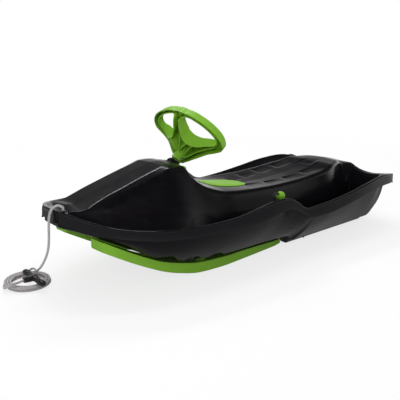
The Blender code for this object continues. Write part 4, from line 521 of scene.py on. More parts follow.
blackPlastic = mouldedMaterial("sledBlack")
greenPlastic = mouldedMaterial("sledGreen")
innerPlastic = mouldedMaterial("innerBlack")
gripPlastic = mouldedMaterial("gripBlack")
nylonPlastic = mouldedMaterial("dryNylon")
steelMetal = zincMaterial()
blackPaint = paintedMaterial()
cordFibre = cordMaterial()
print("materials made")

# The cord, in metres: eyelet, nose edge, floor, coil and the end up to the handle
cordSetup = {"diameter": 0.006, "exit": (0.556, 0.044, 0.2221), "coilAt": (0.600, -0.094),
             "coilOuter": 0.059, "pitch": 0.0068, "loops": 5.25, "perLoop": 24,
             "startAngle": math.radians(250), "layer": 0.0066, "floorGap": 0.0006, "around": 14,
             "route": [(0.5590, 0.0430, 0.2310), (0.5650, 0.0405, 0.2345), (0.5725, 0.0370, 0.2335),
                       (0.5790, 0.0345, 0.2285), (0.5840, 0.0325, 0.2190), (0.5870, 0.0310, 0.2050),
                       (0.5885, 0.0295, 0.1850), (0.5885, 0.0265, 0.1610), (0.5880, 0.0200, 0.1360),
                       (0.5870, 0.0080, 0.1130), (0.5865, -0.0120, 0.0870), (0.5860, -0.0390, 0.0600),
                       (0.5800, -0.0750, 0.0380), (0.5720, -0.1000, 0.0260), (0.5665, -0.1180, 0.0200),
                       (0.5640, -0.1320, 0.0195), (0.5672, -0.1420, 0.0172)],
             "tail": [(0.6625, -0.0950, 0.0062), (0.6665, -0.0790, 0.0125), (0.6620, -0.0700, 0.0185),
                      (0.6500, -0.0690, 0.0215), (0.6360, -0.0705, 0.0208)]}
# Handle: share of the full width along the bar, then run and radius along the stem
handleSetup = {"at": (0.592, -0.073), "length": 0.116, "width": 0.020, "thick": 0.015, "stem": 0.028,
               "rings": 73, "around": 33, "grooveDepth": 0.05, "grooved": 0.9,
               "swell": [(-1.0, 0.0), (-0.995, 0.30), (-0.97, 0.62), (-0.90, 0.86), (-0.72, 1.0),
                         (-0.36, 0.84), (0.0, 1.08), (0.36, 0.84), (0.72, 1.0), (0.90, 0.86),
                         (0.97, 0.62), (0.995, 0.30), (1.0, 0.0)],
               "stemLine": [(0.001, 0.0090), (0.010, 0.0086), (0.016, 0.0083), (0.0205, 0.0081),
                            (0.022, 0.0081), (0.0225, 0.0074), (0.0245, 0.0072), (0.0275, 0.0070),
                            (0.028, 0.0066), (0.028, 0.0036), (0.0275, 0.0033), (0.020, 0.0033)]}
handleSetup["z"] = (cordSetup["layer"] + cordSetup["diameter"] + cordSetup["floorGap"] + 0.0006
                    + handleSetup["thick"] / 2 * 1.08)


# Coordinates, or u and v, of any matching shapes put together along a last axis
def together(*values):
    return np.stack(np.broadcast_arrays(*values), axis=-1)


# Loops that spiral in on the upper layer and out again on the floor beneath: each loop's radius is
# one pitch less than that of the loop outside it
def coilLine():
    steps = cordSetup["perLoop"]
    total = round(cordSetup["loops"] * steps)
    k = np.arange(total + 1)
    angle = cordSetup["startAngle"] + 2 * math.pi * k / steps
    radius = cordSetup["coilOuter"] - cordSetup["pitch"] * np.minimum(k, total - k) / steps
    layer = 1 - smoothStep(k, total / 2 - steps / 4, total / 2 + steps / 4)
    height = cordSetup["diameter"] / 2 + cordSetup["floorGap"] + cordSetup["layer"] * layer
    x, y = cordSetup["coilAt"]
    return together(x + radius * np.cos(angle), y + radius * np.sin(angle), height)


# The whole visible cord: fall from the eyelet, coil, and the short end into the handle
def cordLine():
    c, d, coil = cordSetup, cordSetup["diameter"], coilLine()
    first = np.array([c["exit"], np.add(c["exit"], (0, 0, d))])
    mouth = np.array([handleSetup["at"][0] + handleSetup["stem"] - 0.006, handleSetup["at"][1],
                      handleSetup["z"]])
    into = coil[1] - coil[0]
    into /= np.linalg.norm(into)
    away = coil[-1] - coil[-2]
    away /= np.linalg.norm(away)
    fall = throughPoints(np.vstack([first, c["route"], coil[:1] - into * d, coil[:1]]), 5)
    end = throughPoints(np.vstack([coil[-1:], coil[-1:] + away * d, c["tail"], mouth + (d, 0, 0), mouth]), 5)
    return np.vstack([fall[:-1], coil[:-1], end])


# Round tube: each ring is path + radius (side cos a + up sin a); side is carried along untwisted
def tubeAlong(path, radius, around):
    tangent = np.gradient(path, axis=0)
    tangent /= np.linalg.norm(tangent, axis=1, keepdims=True)
    side = np.zeros_like(path)
    side[0] = np.cross(tangent[0], (0.3, 0.9, 0.1))
    side[0] /= np.linalg.norm(side[0])
    for i in range(1, len(path)):
        s = side[i - 1] - tangent[i] * np.dot(side[i - 1], tangent[i])
        side[i] = s / np.linalg.norm(s)
    up = np.cross(tangent, side)
    a = np.linspace(0, 2 * math.pi, around + 1)[None, :, None]
    rings = path[:, None] + radius * (side[:, None] * np.cos(a) + up[:, None] * np.sin(a))
    return rings, together(np.linspace(0, 1, around + 1)[None, :], runAlong(path)[:, None])


# Adds a closing ring at each end that shrinks to the middle, so a tube is shut
def capped(rings):
    first = rings[:1].mean(axis=1, keepdims=True)
    last = rings[-1:].mean(axis=1, keepdims=True)
    return np.concatenate([np.repeat(first, rings.shape[1], 1), rings, np.repeat(last, rings.shape[1], 1)])


def makeCord():
    path = cordLine()
    rings, uv = tubeAlong(path, cordSetup["diameter"] / 2, cordSetup["around"])
    part = gridPart(capped(rings), np.concatenate([uv[:1], uv, uv[-1:]]), flip=True)
    cord = meshFrom("towCord", [part], cordFibre, weld=1e-6, smooth=80)
    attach(cord, "sled")
    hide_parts("pull_cord", "cord_coil", "cord_tail")
    length = float(np.linalg.norm(np.diff(path, axis=0), axis=1).sum())
    print("cord length", round(length, 4))
    return cord, path, length


towCord, cordPath, cordLength = makeCord()


# T handle: an oval bar whose half width follows a waisted curve along y, and a round stem
def makeHandle():
    s = handleSetup
    share = np.sin(np.linspace(-math.pi / 2, math.pi / 2, s["rings"]))[:, None]
    a = np.linspace(0, 2 * math.pi, s["around"])
    w = monotoneLine(s["swell"])(share)
    # shallow finger grooves on the underside of the bar
    under = np.clip(-np.sin(a), 0, 1)
    groove = 1 - s["grooveDepth"] * np.cos(share * 4 * math.pi) * under * (np.abs(share) < s["grooved"])
    bar = together(s["at"][0] + s["width"] / 2 * w * np.cos(a), s["at"][1] + share * s["length"] / 2,
                   s["z"] + s["thick"] / 2 * w * np.sin(a) * groove)
    run, wide = np.array(s["stemLine"]).T[:, :, None]
    stem = together(s["at"][0] + run, s["at"][1] + wide * np.cos(a), s["z"] + wide * np.sin(a))
    handle = meshFrom("towHandle", [gridPart(bar), gridPart(capped(stem))], gripPlastic, weld=1e-6,
                      smooth=45, outward=True)
    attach(handle, "sled")
    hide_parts("pull_handle")
    return handle


towHandle = makeHandle()
print("cord and handle made")

# Plan and side lines of the two shells: half width or height at each x
lines = {
    "rimWidth": [(stern, 0.222), (stern + 0.025, 0.229), (stern + 0.080, 0.237), (stern + 0.175, 0.248),
                 (-0.300, 0.252), (-0.115, 0.249), (-0.010, 0.247), (0.110, 0.243), (0.240, 0.236),
                 (nose - 0.235, 0.221), (nose - 0.175, 0.205), (nose - 0.115, 0.179), (nose - 0.075, 0.149),
                 (nose - 0.048, 0.114), (nose - 0.031, 0.086), (nose - 0.017, 0.062), (nose - 0.008, 0.043),
                 (nose - 0.003, 0.028), (nose, 0.015)],
    "rimHeight": [(stern, 0.172), (stern + 0.075, 0.178), (stern + 0.162, 0.172), (-0.306, 0.158),
                  (-0.188, 0.147), (-0.120, 0.144), (-0.088, 0.151), (-0.059, 0.171), (-0.030, 0.186),
                  (0.000, 0.191), (0.032, 0.190), (0.112, 0.178), (0.178, 0.170), (0.240, 0.169),
                  (nose - 0.275, 0.170), (nose - 0.225, 0.172), (nose - 0.175, 0.177), (nose - 0.115, 0.185),
                  (nose - 0.075, 0.194), (nose - 0.048, 0.204), (nose - 0.031, 0.212), (nose - 0.015, 0.218),
                  (nose, 0.223)],
    "seam": [(stern, 0.142), (stern + 0.068, 0.145), (stern + 0.157, 0.142), (-0.310, 0.128),
             (-0.190, 0.115), (-0.115, 0.117), (-0.090, 0.127), (-0.050, 0.148), (-0.010, 0.158),
             (0.020, 0.155), (0.056, 0.149), (0.111, 0.146), (0.213, 0.144), (nose - 0.279, 0.144),
             (nose - 0.230, 0.147), (nose - 0.181, 0.151), (nose - 0.136, 0.158), (nose - 0.075, 0.169),
             (nose - 0.050, 0.174), (nose - 0.031, 0.180), (nose - 0.005, 0.190), (nose, 0.195)],
    "ridgeY": [(stern, 0.036), (stern + 0.055, 0.046), (stern + 0.115, 0.074), (stern + 0.165, 0.096),
               (stern + 0.215, 0.108), (stern + 0.265, 0.112), (-0.140, 0.110), (0.000, 0.107),
               (0.073, 0.105), (0.125, 0.100), (0.178, 0.090), (0.190, 0.082), (0.215, 0.074),
               (0.256, 0.076), (0.294, 0.075), (nose - 0.190, 0.072), (nose - 0.120, 0.067),
               (nose - 0.075, 0.062), (nose - 0.050, 0.058), (nose - 0.032, 0.046), (nose - 0.020, 0.034),
               (nose, 0.006)],
    "ridgeZ": [(stern, 0.178), (stern + 0.020, 0.185), (stern + 0.055, 0.195), (stern + 0.115, 0.205),
               (stern + 0.165, 0.205), (stern + 0.215, 0.196), (stern + 0.265, 0.192), (-0.240, 0.187),
               (-0.140, 0.185), (-0.060, 0.187), (0.000, 0.189), (0.073, 0.195), (0.125, 0.209),
               (0.178, 0.239), (0.190, 0.255), (0.215, 0.284), (0.256, 0.285), (0.294, 0.275),
               (0.324, 0.266), (nose - 0.190, 0.250), (nose - 0.120, 0.230), (nose - 0.075, 0.219),
               (nose - 0.050, 0.2165), (nose - 0.032, 0.2160), (nose - 0.015, 0.2180), (nose, 0.222)],
    "crown": [(stern, 0.004), (stern + 0.055, 0.004), (stern + 0.165, 0.002), (-0.300, -0.004),
              (-0.080, -0.008), (0.000, -0.001), (0.073, 0.007), (0.125, 0.011), (0.180, 0.010),
              (0.215, 0.009), (0.294, 0.008), (nose - 0.190, 0.006), (nose - 0.075, 0.006),
              (nose - 0.050, 0.004), (nose - 0.030, 0.001), (nose, 0.000)],
    "footY": [(stern, 0.070), (stern + 0.060, 0.082), (stern + 0.115, 0.100), (stern + 0.215, 0.130),
              (-0.200, 0.134), (0.100, 0.134), (0.200, 0.158), (0.280, 0.176), (nose - 0.215, 0.176),
              (nose - 0.175, 0.162), (nose - 0.115, 0.138), (nose - 0.075, 0.110), (nose - 0.048, 0.078),
              (nose - 0.031, 0.054), (nose - 0.017, 0.036), (nose, 0.010)],
    "wellDepth": [(stern + 0.024, 0.0), (stern + 0.056, 1.0), (0.180, 1.0), (0.300, 0.25), (0.370, 0.0)],
    "sternRim": [(0.000, 0.183), (0.050, 0.183), (0.088, 0.168), (0.114, 0.163), (0.142, 0.161),
                 (0.185, 0.166), (0.222, 0.172)],
    "edgeY": [(-0.135, 0.166), (0.000, 0.172), (0.200, 0.180), (0.330, 0.180), (nose - 0.175, 0.172),
              (nose - 0.136, 0.156), (nose - 0.075, 0.118), (nose - 0.048, 0.086), (nose - 0.020, 0.050),
              (nose, 0.030)],
    "edgeZ": [(-0.135, 0.026), (-0.105, 0.037), (0.000, 0.044), (0.100, 0.048), (0.190, 0.053),
              (0.224, 0.057), (0.307, 0.0705), (nose - 0.184, 0.0995), (nose - 0.141, 0.122),
              (nose - 0.075, 0.154), (nose - 0.048, 0.167), (nose - 0.020, 0.181), (nose, 0.188)],
    "recess": [(-0.135, 0.026), (-0.060, 0.030), (0.060, 0.035), (0.172, 0.0455), (0.228, 0.0455),
               (0.300, 0.0655), (0.347, 0.0855), (0.393, 0.1075), (0.436, 0.132), (0.477, 0.158),
               (0.508, 0.176), (nose - 0.040, 0.182), (nose, 0.188)],
    "topY": [(0.180, 0.052), (0.260, 0.053), (0.336, 0.056), (0.405, 0.0575), (0.500, 0.060)],
    "topZ": [(0.190, 0.262), (0.205, 0.276), (0.2225, 0.286), (0.245, 0.2895), (0.268, 0.2895),
             (0.286, 0.285), (0.336, 0.2715), (0.405, 0.251), (0.440, 0.2405), (0.474, 0.2285),
             (0.500, 0.219), (0.518, 0.2135)]}
at = {name: monotoneLine(points) for name, points in lines.items()}


# How far a row belongs to the keel behind the step
def keelShare(x):
    return smoothStep(-x, -(sled["keelStep"] + 0.006), -(sled["keelStep"] - 0.006))


# How far it belongs to the stern, where the hull's neck is drawn in
def sternShare(x):
    return smoothStep(-x, -(stern + 0.110), -(stern + 0.025))


# How far it belongs to the nose
def snoutShare(x):
    return np.clip((x - nose + 0.110) / 0.045, 0, 1)


def rimSlope(x):
    return (at["rimWidth"](x + 0.004) - at["rimWidth"](x - 0.004)) / 0.008


# Half width of the hull's top edge, measured square to the deck's band
def hullTopY(x):
    inset = (sled["wall"] + sled["shellGap"]) * np.sqrt(1 + rimSlope(x) ** 2)
    return np.maximum(at["rimWidth"](x) - inset - 0.001, 0.012)


# Half width of its neck, just below the seam
def hullNeckY(x):
    return hullTopY(x) - 0.0015 * (1 - snoutShare(x)) - sled["neck"] * sternShare(x)


# Test of face centres that leaves out the faces over the brakes' slots, below a height
def besideSlots(ceiling):
    (x0, x1), (y0, y1) = sled["slotX"], sled["slotY"]

    def keep(c):
        x, y, z = c[:, 0], np.abs(c[:, 1]), c[:, 2]
        return ~((x > x0) & (x < x1) & (y > y0 - 0.0004) & (y < y1 + 0.0004) & (z < ceiling))

    return keep


# Hull: pocket is its place, half length and depth; the last three rows are, for each corner of a
# section, the radius of its bend, the steps in it, and the parts of the straight before it
hullSetup = {"floor": 0.010, "keelInner": 0.108, "keelOuter": 0.137, "chineY": 0.168, "chineZ": 0.021,
             "scallopStart": 0.153, "scallopPitch": 0.0773, "scallopCount": 3, "scallopHeight": 0.0105,
             "scallopGrowth": 0.0010, "transom": 0.018, "bulge": 0.007, "neckDrop": 0.0045,
             "keelRise": 0.022, "pocket": (-0.018, 0.016, 0.0045), "sharp": 42, "slotTop": 0.05,
             "radii": [0, 0, 0.004, 0.004, 0.003, 0, 0, 0.007, 0.02, 0.02, 0.02, 0.02, 0.02, 0.002, 0.002, 0],
             "steps": [0, 0, 3, 3, 2, 0, 0, 3, 1, 1, 1, 1, 1, 2, 2, 0],
             "spans": [0, 6, 6, 2, 4, 1, 2, 1, 1, 1, 1, 1, 1, 2, 1, 2]}


# Arches cut out of the side's lower edge, ((|sin| - 0.35) / 0.65)^0.8 each, growing forwards
def archHeight(x):
    h = hullSetup
    place = (x - h["scallopStart"]) / h["scallopPitch"]
    inside = (place > 0) & (place < h["scallopCount"])
    arch = np.clip((np.abs(np.sin(math.pi * np.mod(place, 1.0))) - 0.35) / 0.65, 0, 1) ** 0.8
    return np.where(inside, (h["scallopHeight"] + h["scallopGrowth"] * place) * arch, 0)


# Half sections of the hull, from the middle of its bottom to its top edge, as (rows, points, 2):
# corners over the ski, on the keel and at the nose, a + (b - a) share by each row's shares, and a side
# that bulges by sin(pi t) from the lower edge to the neck
def hullHalf(x):
    h, one, zero = hullSetup, np.ones_like(x), 0 * x
    k, snout = keelShare(x), snoutShare(x)
    lift = h["keelRise"] * np.clip((stern + 0.060 - x) / 0.040, 0, 1) ** 2
    height, seam, topY = at["rimHeight"](x), at["seam"](x), hullTopY(x)
    topZ = seam + np.minimum(sled["seamLap"], 0.30 * (height - seam))
    neckY, neckZ = hullNeckY(x), seam - h["neckDrop"]
    ceiling = np.minimum(at["recess"](x), topZ - 0.010)
    ey, ez = at["edgeY"](x), at["edgeZ"](x)
    ez = np.minimum(ez, mixed(ez, neckZ - 0.004, snout))
    # where an arch rises, the lower edge moves up the side's own surface
    cut = archHeight(x) / np.maximum(neckZ - ez - 0.002, 0.02)
    ey = mixed(ey, neckY, cut) + h["bulge"] * (1 - snout) * np.sin(math.pi * cut)
    ez = mixed(ez, neckZ - 0.002, cut)
    sole = np.minimum(ceiling, ez - 0.0005)
    overSki = [(zero, ceiling), (ey * 0.5, ceiling), (np.maximum(ey - 0.032, ey * 0.66), ceiling),
               (np.maximum(ey - 0.026, ey * 0.74), np.maximum(ez, ceiling) + 0.003),
               (np.maximum(ey - 0.006, ey * 0.92), ez), (ey, ez + 0.002)]
    keel = [(zero, h["floor"]), (h["keelInner"], h["floor"]), (h["keelInner"] + 0.004, zero),
            (h["keelOuter"], zero), (h["keelOuter"] + 0.006, h["floor"] - 0.001),
            (h["chineY"], h["chineZ"])]
    plain = [(zero, sole), (ey * 0.30, sole), (ey * 0.55, sole), (ey * 0.75, mixed(sole, ez, 0.3)),
             (ey * 0.90, mixed(sole, ez, 0.7)), (ey, ez)]
    low = []
    for a, b, c in zip(overSki, keel, plain):
        y, z = mixed(a[0], b[0], k), mixed(a[1], b[1], k) + lift
        low.append((mixed(y, c[0], snout), mixed(z, c[1], snout)))
    (innerY, innerZ), (cornerY, cornerZ) = low[4:]
    # two more corners beside the brake's slot, on the straight slope between keel and chine
    slotted = smoothStep(x, -0.240, -0.222) * smoothStep(-x, 0.136, 0.142)
    slotCorners = []
    for share, y in zip((0.30, 0.62), sled["slotY"]):
        t = mixed(share, (y - innerY) / np.maximum(cornerY - innerY, 1e-4), slotted * k)
        slotCorners.append((mixed(innerY, cornerY, t), mixed(innerZ, cornerZ, t)))
    side = []
    for t in (0.15, 0.3, 0.5, 0.7, 0.85):
        # the part of the bulge that the cut edge already has is left out again
        run = cut + (1 - cut) * t
        swell = h["bulge"] * (1 - snout) * (np.sin(math.pi * run) - (1 - t) * np.sin(math.pi * cut))
        side.append((mixed(cornerY, neckY, t) + swell, mixed(cornerZ, neckZ, t)))
    # a shallow lens shaped pocket below the seam at the hump
    pocketX, pocketReach, pocketDepth = h["pocket"]
    lens = np.exp(-((x - pocketX) / pocketReach) ** 4) * pocketDepth
    flange = neckZ + mixed(0.0055, 0.0015, sternShare(x))
    top = [(neckY - lens, neckZ), (topY, flange), (topY, topZ)]
    line = cornerLines(low[:5] + slotCorners + [low[5]] + side + top, one)
    return roundedLines(line, [r * one for r in h["radii"]], h["steps"], h["spans"])


# Outside of the hull's side at a height, from the straight side corners
def hullSideY(x, z):
    k = keelShare(x)
    cornerY = mixed(at["edgeY"](x), hullSetup["chineY"], k)
    cornerZ = mixed(at["edgeZ"](x) + archHeight(x) + 0.002, hullSetup["chineZ"], k)
    neckZ = at["seam"](x) - hullSetup["neckDrop"]
    t = np.clip((z - cornerZ) / (neckZ - cornerZ), 0, 1)
    swell = 0.9 * hullSetup["bulge"] * (1 - snoutShare(x)) * np.sin(math.pi * t)
    return mixed(cornerY, hullNeckY(x), t) + swell


# Lower shell: rows of hullHalf along x, closed at the transom and the nose, with a wall behind
def makeHull():
    h = hullSetup
    inset = sled["wall"] + sled["shellGap"] + 0.002
    low, high = sled["slotX"]
    transom = stern + h["transom"]
    xs = rowPlaces([(transom + 0.006, 12), (stern + 0.060, 40), (low, 12), (high, 3),
                    (sled["keelStep"] - 0.008, 8), (sled["keelStep"] + 0.008, 40), (h["scallopStart"], 72),
                    (h["scallopStart"] + h["scallopPitch"] * h["scallopCount"], 18), (nose - 0.070, 22),
                    (nose - 0.020, 10), (nose - inset - 0.003, 0)])
    rows = bothSides(xs, hullHalf(xs))
    top, foot = rows[0, 0, 2], rows[0, rows.shape[1] // 2, 2]
    seam = float(at["seam"](stern))

    def raised(row, x, height, narrow):
        return together(x, row[:, 1] * narrow, np.maximum(row[:, 2], height))

    marks = [(transom + 0.003, mixed(foot, seam, 0.08), 0.998),
             (transom + 0.0005, mixed(foot, seam, 0.22), 0.996),
             (transom - 0.001, mixed(foot, seam, 0.5), 0.993), (transom - 0.002, seam - 0.006, 0.990),
             (transom - 0.003, seam - h["neckDrop"], 0.985), (stern + inset, seam - 0.003, 0.972),
             (stern + inset, top, 0.972)]
    back = np.array([raised(rows[0], *mark) for mark in marks[::-1]])
    front = raised(rows[-1], nose - inset, rows[-1][0, 2], 0.84)[None]
    part = gridPart(np.concatenate([back, rows, front]), flip=True)
    hull = meshFrom("lowerShell", [part], blackPlastic, smooth=h["sharp"], keep=besideSlots(h["slotTop"]))
    thicken(hull, sled["sheet"])
    smoothUnder(hull, h["sharp"])
    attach(hull, "sled")
    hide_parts("hull_shell")
    return hull


lowerShell = makeHull()
print("lower shell", len(lowerShell.data.polygons))

# Deck: fields are place x and y, turn, half length and half width of the seat's fields; hood and
# crease are start, full, fade and end along x; steps and spans as for the hull
deckSetup = {"rimTop": 0.011, "rimRadius": 0.0035, "flare": 0.0020, "ridgeRadius": 0.028,
             "wellRadius": 0.010, "lip": 0.016, "panelDepth": 0.0018, "fieldCorner": 0.012,
             "fields": [(-0.085, 0.043, -0.20, 0.031, 0.016), (-0.160, 0.060, -0.16, 0.032, 0.020),
                        (-0.243, 0.068, -0.10, 0.036, 0.024), (-0.330, 0.066, 0.00, 0.038, 0.024),
                        (-0.400, 0.0, 0.00, 0.026, 0.030)],
             "gutter": (0.012, 0.008), "hood": (0.196, 0.226, nose - 0.070, nose - 0.045),
             "crease": (0.225, 0.250, 0.450, 0.480), "creaseOut": 0.013, "creaseDown": 0.0155,
             "easeRows": (0.060, 0.110, 0.400, 0.450), "easeColumns": (35, 46, 74, 82), "easePasses": 60,
             "sharp": 30, "slotTop": 0.055,
             "steps": [0, 3, 4, 3, 1, 1, 1, 1, 4, 0, 0, 4, 1, 1, 3, 4, 1, 0],
             "spans": [0, 16, 12, 2, 2, 2, 2, 2, 2, 2, 2, 2, 3, 3, 3, 2, 2, 2]}


# Floor of the leg wells, clear of the hull that is raised over the skis
def wellFloor(x):
    rise = np.clip((x - hullSetup["scallopStart"] + 0.060) / 0.070, 0, 1)
    lip = at["edgeZ"](x) + 0.010 + (hullSetup["scallopHeight"] + 0.004) * rise
    return np.maximum(sled["wellFloor"], np.maximum(lip, at["recess"](x)) + 0.007)


# 1 inside the seat's padded looking fields: rounded rectangles with soft sides
def panelMask(x, y):
    total = np.zeros_like(x)
    corner = deckSetup["fieldCorner"]
    for cx, cy, turn, lx, ly in deckSetup["fields"]:
        dx, dy = x - cx, np.abs(y) - cy
        u = np.abs(dx * math.cos(turn) + dy * math.sin(turn)) - lx
        v = np.abs(dy * math.cos(turn) - dx * math.sin(turn)) - ly
        bend = np.hypot(np.maximum(u + corner, 0), np.maximum(v + corner, 0)) - corner
        inside = np.maximum(bend, np.maximum(u, v))
        # each field dips towards its front, so it catches the light differently from the ribs
        dip = 1 + 0.8 * np.clip(dx / lx, -1, 1)
        total = np.maximum(total, (1 - smoothStep(inside, -0.006, 0.003)) * dip)
    return total


# Half sections of the deck, from its middle to the band's lower edge, as (rows, points, 2): corners
# a + (b - a) share by each row's shares of hood, crease and well, and a flank that swells square to
# itself by sin(pi t)^1.6, or ^0.9 on the hood
def deckHalf(x):
    d, one, zero = deckSetup, np.ones_like(x), 0 * x
    width, top, depth, seam = at["rimWidth"](x), at["rimHeight"](x), at["wellDepth"](x), at["seam"](x)
    slant = np.minimum(np.hypot(1, rimSlope(x)), 2.0)
    lip, rimBend = d["rimTop"] * slant, d["rimRadius"] * slant
    sternMix = smoothStep(-x, -(stern + d["lip"] + 0.024), -(stern + d["lip"]))
    ry, rz = at["ridgeY"](x), at["ridgeZ"](x)
    gutter = mixed(*d["gutter"], np.clip((x - nose + 0.20) / 0.08, 0, 1))
    deepFloor = wellFloor(x)
    floor = mixed(top - gutter, deepFloor, depth)
    fy = np.minimum(at["footY"](x), np.maximum(width - 0.036, width * 0.55))
    wellOuter = hullSideY(x, deepFloor) - 0.011
    oy = mixed(np.maximum(width - 0.024, mixed(fy, width, 0.30)), np.maximum(wellOuter, fy + 0.020), depth)
    standIn = sled["neck"] * 0.8 * sternShare(x)
    lip = np.minimum(lip, (width - oy) * 0.62) + standIn
    aft = standIn > 0
    oy = np.where(aft, np.minimum(oy, width - lip - 0.008), oy)
    fy = np.where(aft, np.minimum(fy, oy - 0.014), fy)
    ry = np.minimum(ry, np.maximum(fy - 0.012, fy * 0.6))
    tip = np.clip((x - nose + 0.04) / 0.018, 0, 1)
    floor = mixed(floor, top - 0.001, tip)
    rz = mixed(rz, top - 0.0008, tip)
    hood, crease = window(x, *d["hood"]), window(x, *d["crease"])
    # middle, first crease, ridge
    plainCentre = rz + at["crown"](x)
    y1 = mixed(ry * 0.6, at["topY"](x), hood)
    z1 = mixed(mixed(plainCentre, rz, 0.36), at["topZ"](x), hood)
    centre = mixed(plainCentre, z1 + 0.0025, hood)
    # the crease below the ridge, only on the hood
    y3 = mixed(mixed(ry, fy, 0.16), ry + d["creaseOut"], crease)
    z3 = mixed(mixed(rz, floor, 0.16), rz - d["creaseDown"], crease)
    flank = np.hypot(fy - y3, floor - z3)
    ny, nz = (z3 - floor) / flank, (fy - y3) / flank
    bulge = (0.008 * 4 * depth * (1 - depth) + 0.008) * (1 - 0.5 * hood) * np.clip(flank / 0.080, 0, 1) * 0.9
    corners = [(zero, centre), (y1, z1), (ry, rz), (y3, z3)]
    for t in (0.2, 0.4, 0.6, 0.8):
        push = bulge * mixed(math.sin(math.pi * t) ** 1.6, math.sin(math.pi * t) ** 0.9, hood)
        corners.append((mixed(y3, fy, t) + ny * push, mixed(z3, floor, t) + nz * push))
    slotted = smoothStep(x, -0.250, -0.222) * smoothStep(-x, 0.110, 0.138)
    slotA = mixed(mixed(fy, oy, 0.36), sled["slotY"][0], slotted)
    slotB = mixed(mixed(fy, oy, 0.68), sled["slotY"][1], slotted)
    corners += [(fy, floor), (slotA, floor), (slotB, floor), (oy, floor)]
    wallTopY = width - lip
    wall = np.hypot(wallTopY - oy, top - floor)
    wallBulge = 0.004 * np.clip(wall / 0.06, 0, 1) * depth
    for t in (0.33, 0.67):
        corners.append((mixed(oy, wallTopY, t) + wallBulge, mixed(floor, top, t) - wallBulge * 0.3))
    corners += [(wallTopY, top), (width, top), (width + 0.0006, mixed(top, seam, 0.55)),
                (width + d["flare"], seam)]
    hoodBend = mixed(0.020, 0.0035, hood)
    ridgeBend = mixed(d["ridgeRadius"], 0.0040, hood)
    creaseBend = mixed(0.012, 0.0035, crease)
    soft, well = 0.02 * one, d["wellRadius"] * one
    radii = [zero, hoodBend, ridgeBend, creaseBend, soft, soft, soft, soft, well, zero, zero, well, soft,
             soft, rimBend, rimBend, soft, zero]
    half = roundedLines(cornerLines(corners, one), radii, d["steps"], d["spans"])
    # at the stern the rim runs on straight across the shell
    flatBack = at["sternRim"](np.minimum(half[:, :, 0], 0.222))
    mask = np.broadcast_to(sternMix[:, None], flatBack.shape).copy()
    mask[:, -3:] = 0
    half[:, :, 1] = mixed(half[:, :, 1], np.where(mask > 0, flatBack, half[:, :, 1]), mask)
    return half


# Rows that close an end of the deck: a quarter round from the rim's top, then down to the seam
def deckEnd(row, endX, way):
    out = []
    r, seam = deckSetup["rimRadius"], float(at["seam"](endX))
    for angle in np.radians((20, 40, 60, 80)):
        s, c = math.sin(angle), math.cos(angle)
        height = np.minimum(row[:, 2], np.maximum(row[:, 2] - r * (1 - c), seam + 0.001))
        out.append(together(endX - way * r * (1 - s), row[:, 1], height))
    for share, run in ((0.35, 0.0006), (0.8, 0.0014), (1.0, 0.0020)):
        height = np.minimum(row[:, 2], mixed(row[:, 2] - r, seam, share))
        out.append(together(endX + way * run, row[:, 1], height))
    return out


# Upper shell: rows of deckHalf along x with rolled ends, seat fields pressed in, and a wall behind
def makeDeck():
    d = deckSetup
    low, high = sled["slotX"]
    xs = rowPlaces([(stern + 0.0035, 4), (stern + d["lip"], 6), (stern + 0.058, 44), (-0.222, 2), (low, 16),
                    (high, 8), (-0.112, 30), (0.040, 24), (0.150, 30), (0.300, 34), (nose - 0.060, 14),
                    (nose - 0.028, 18), (nose - 0.0035, 0)])
    half = deckHalf(xs)
    # the flank behind the hood is eased along x: weights 1, 2, 1 over neighbouring rows, several times
    columns = window(np.arange(half.shape[1]), *d["easeColumns"])
    amount = window(xs, *d["easeRows"])[1:-1, None] * columns[None, :]
    for _ in range(d["easePasses"]):
        eased = (half[:-2] + 2 * half[1:-1] + half[2:]) / 4
        half[1:-1] = mixed(half[1:-1], eased, amount[:, :, None])
    rows = bothSides(xs, half)
    seat = smoothStep(-rows[:, :, 0], -0.01, 0.03)
    rows[:, :, 2] -= d["panelDepth"] * panelMask(rows[:, :, 0], rows[:, :, 1]) * seat
    back, front = deckEnd(rows[0], stern, -1), deckEnd(rows[-1], nose, 1)
    part = gridPart(np.concatenate([np.array(back[::-1]), rows, np.array(front)]))
    deck = meshFrom("upperShell", [part], blackPlastic, smooth=d["sharp"], keep=besideSlots(d["slotTop"]))
    thicken(deck, sled["sheet"])
    smoothUnder(deck, d["sharp"])
    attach(deck, "sled")
    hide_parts("deck_shell")
    return deck


upperShell = makeDeck()
print("upper shell", len(upperShell.data.polygons))


# Surface of revolution: origin + axis s + r (side cos a + (axis x side) sin a) for each (r, s)
def revolved(profile, around, origin, axis, side):
    profile = np.array(profile, float)
    axis, side = np.array(axis, float), np.array(side, float)
    other = np.cross(axis, side)
    a = np.linspace(0, 2 * math.pi, around, endpoint=False)
    ring = side[None] * np.cos(a)[:, None] + other[None] * np.sin(a)[:, None]
    grid = np.array(origin, float) + axis * profile[:, None, 1:2] + ring[None] * profile[:, None, 0:1]
    return gridPart(grid, together(a[None, :] / (2 * math.pi), profile[:, 1:2]), closedCols=True)


# Rodrigues: p cos t + (k x p) sin t + k (k.p)(1 - cos t) about a line
def turnedAbout(points, origin, axis, angle):
    p = np.asarray(points, float) - origin
    k = np.array(axis, float)
    along = (p @ k)[..., None]
    return (np.array(origin) + p * math.cos(angle) + np.cross(k, p) * math.sin(angle)
            + k * along * (1 - math.cos(angle)))


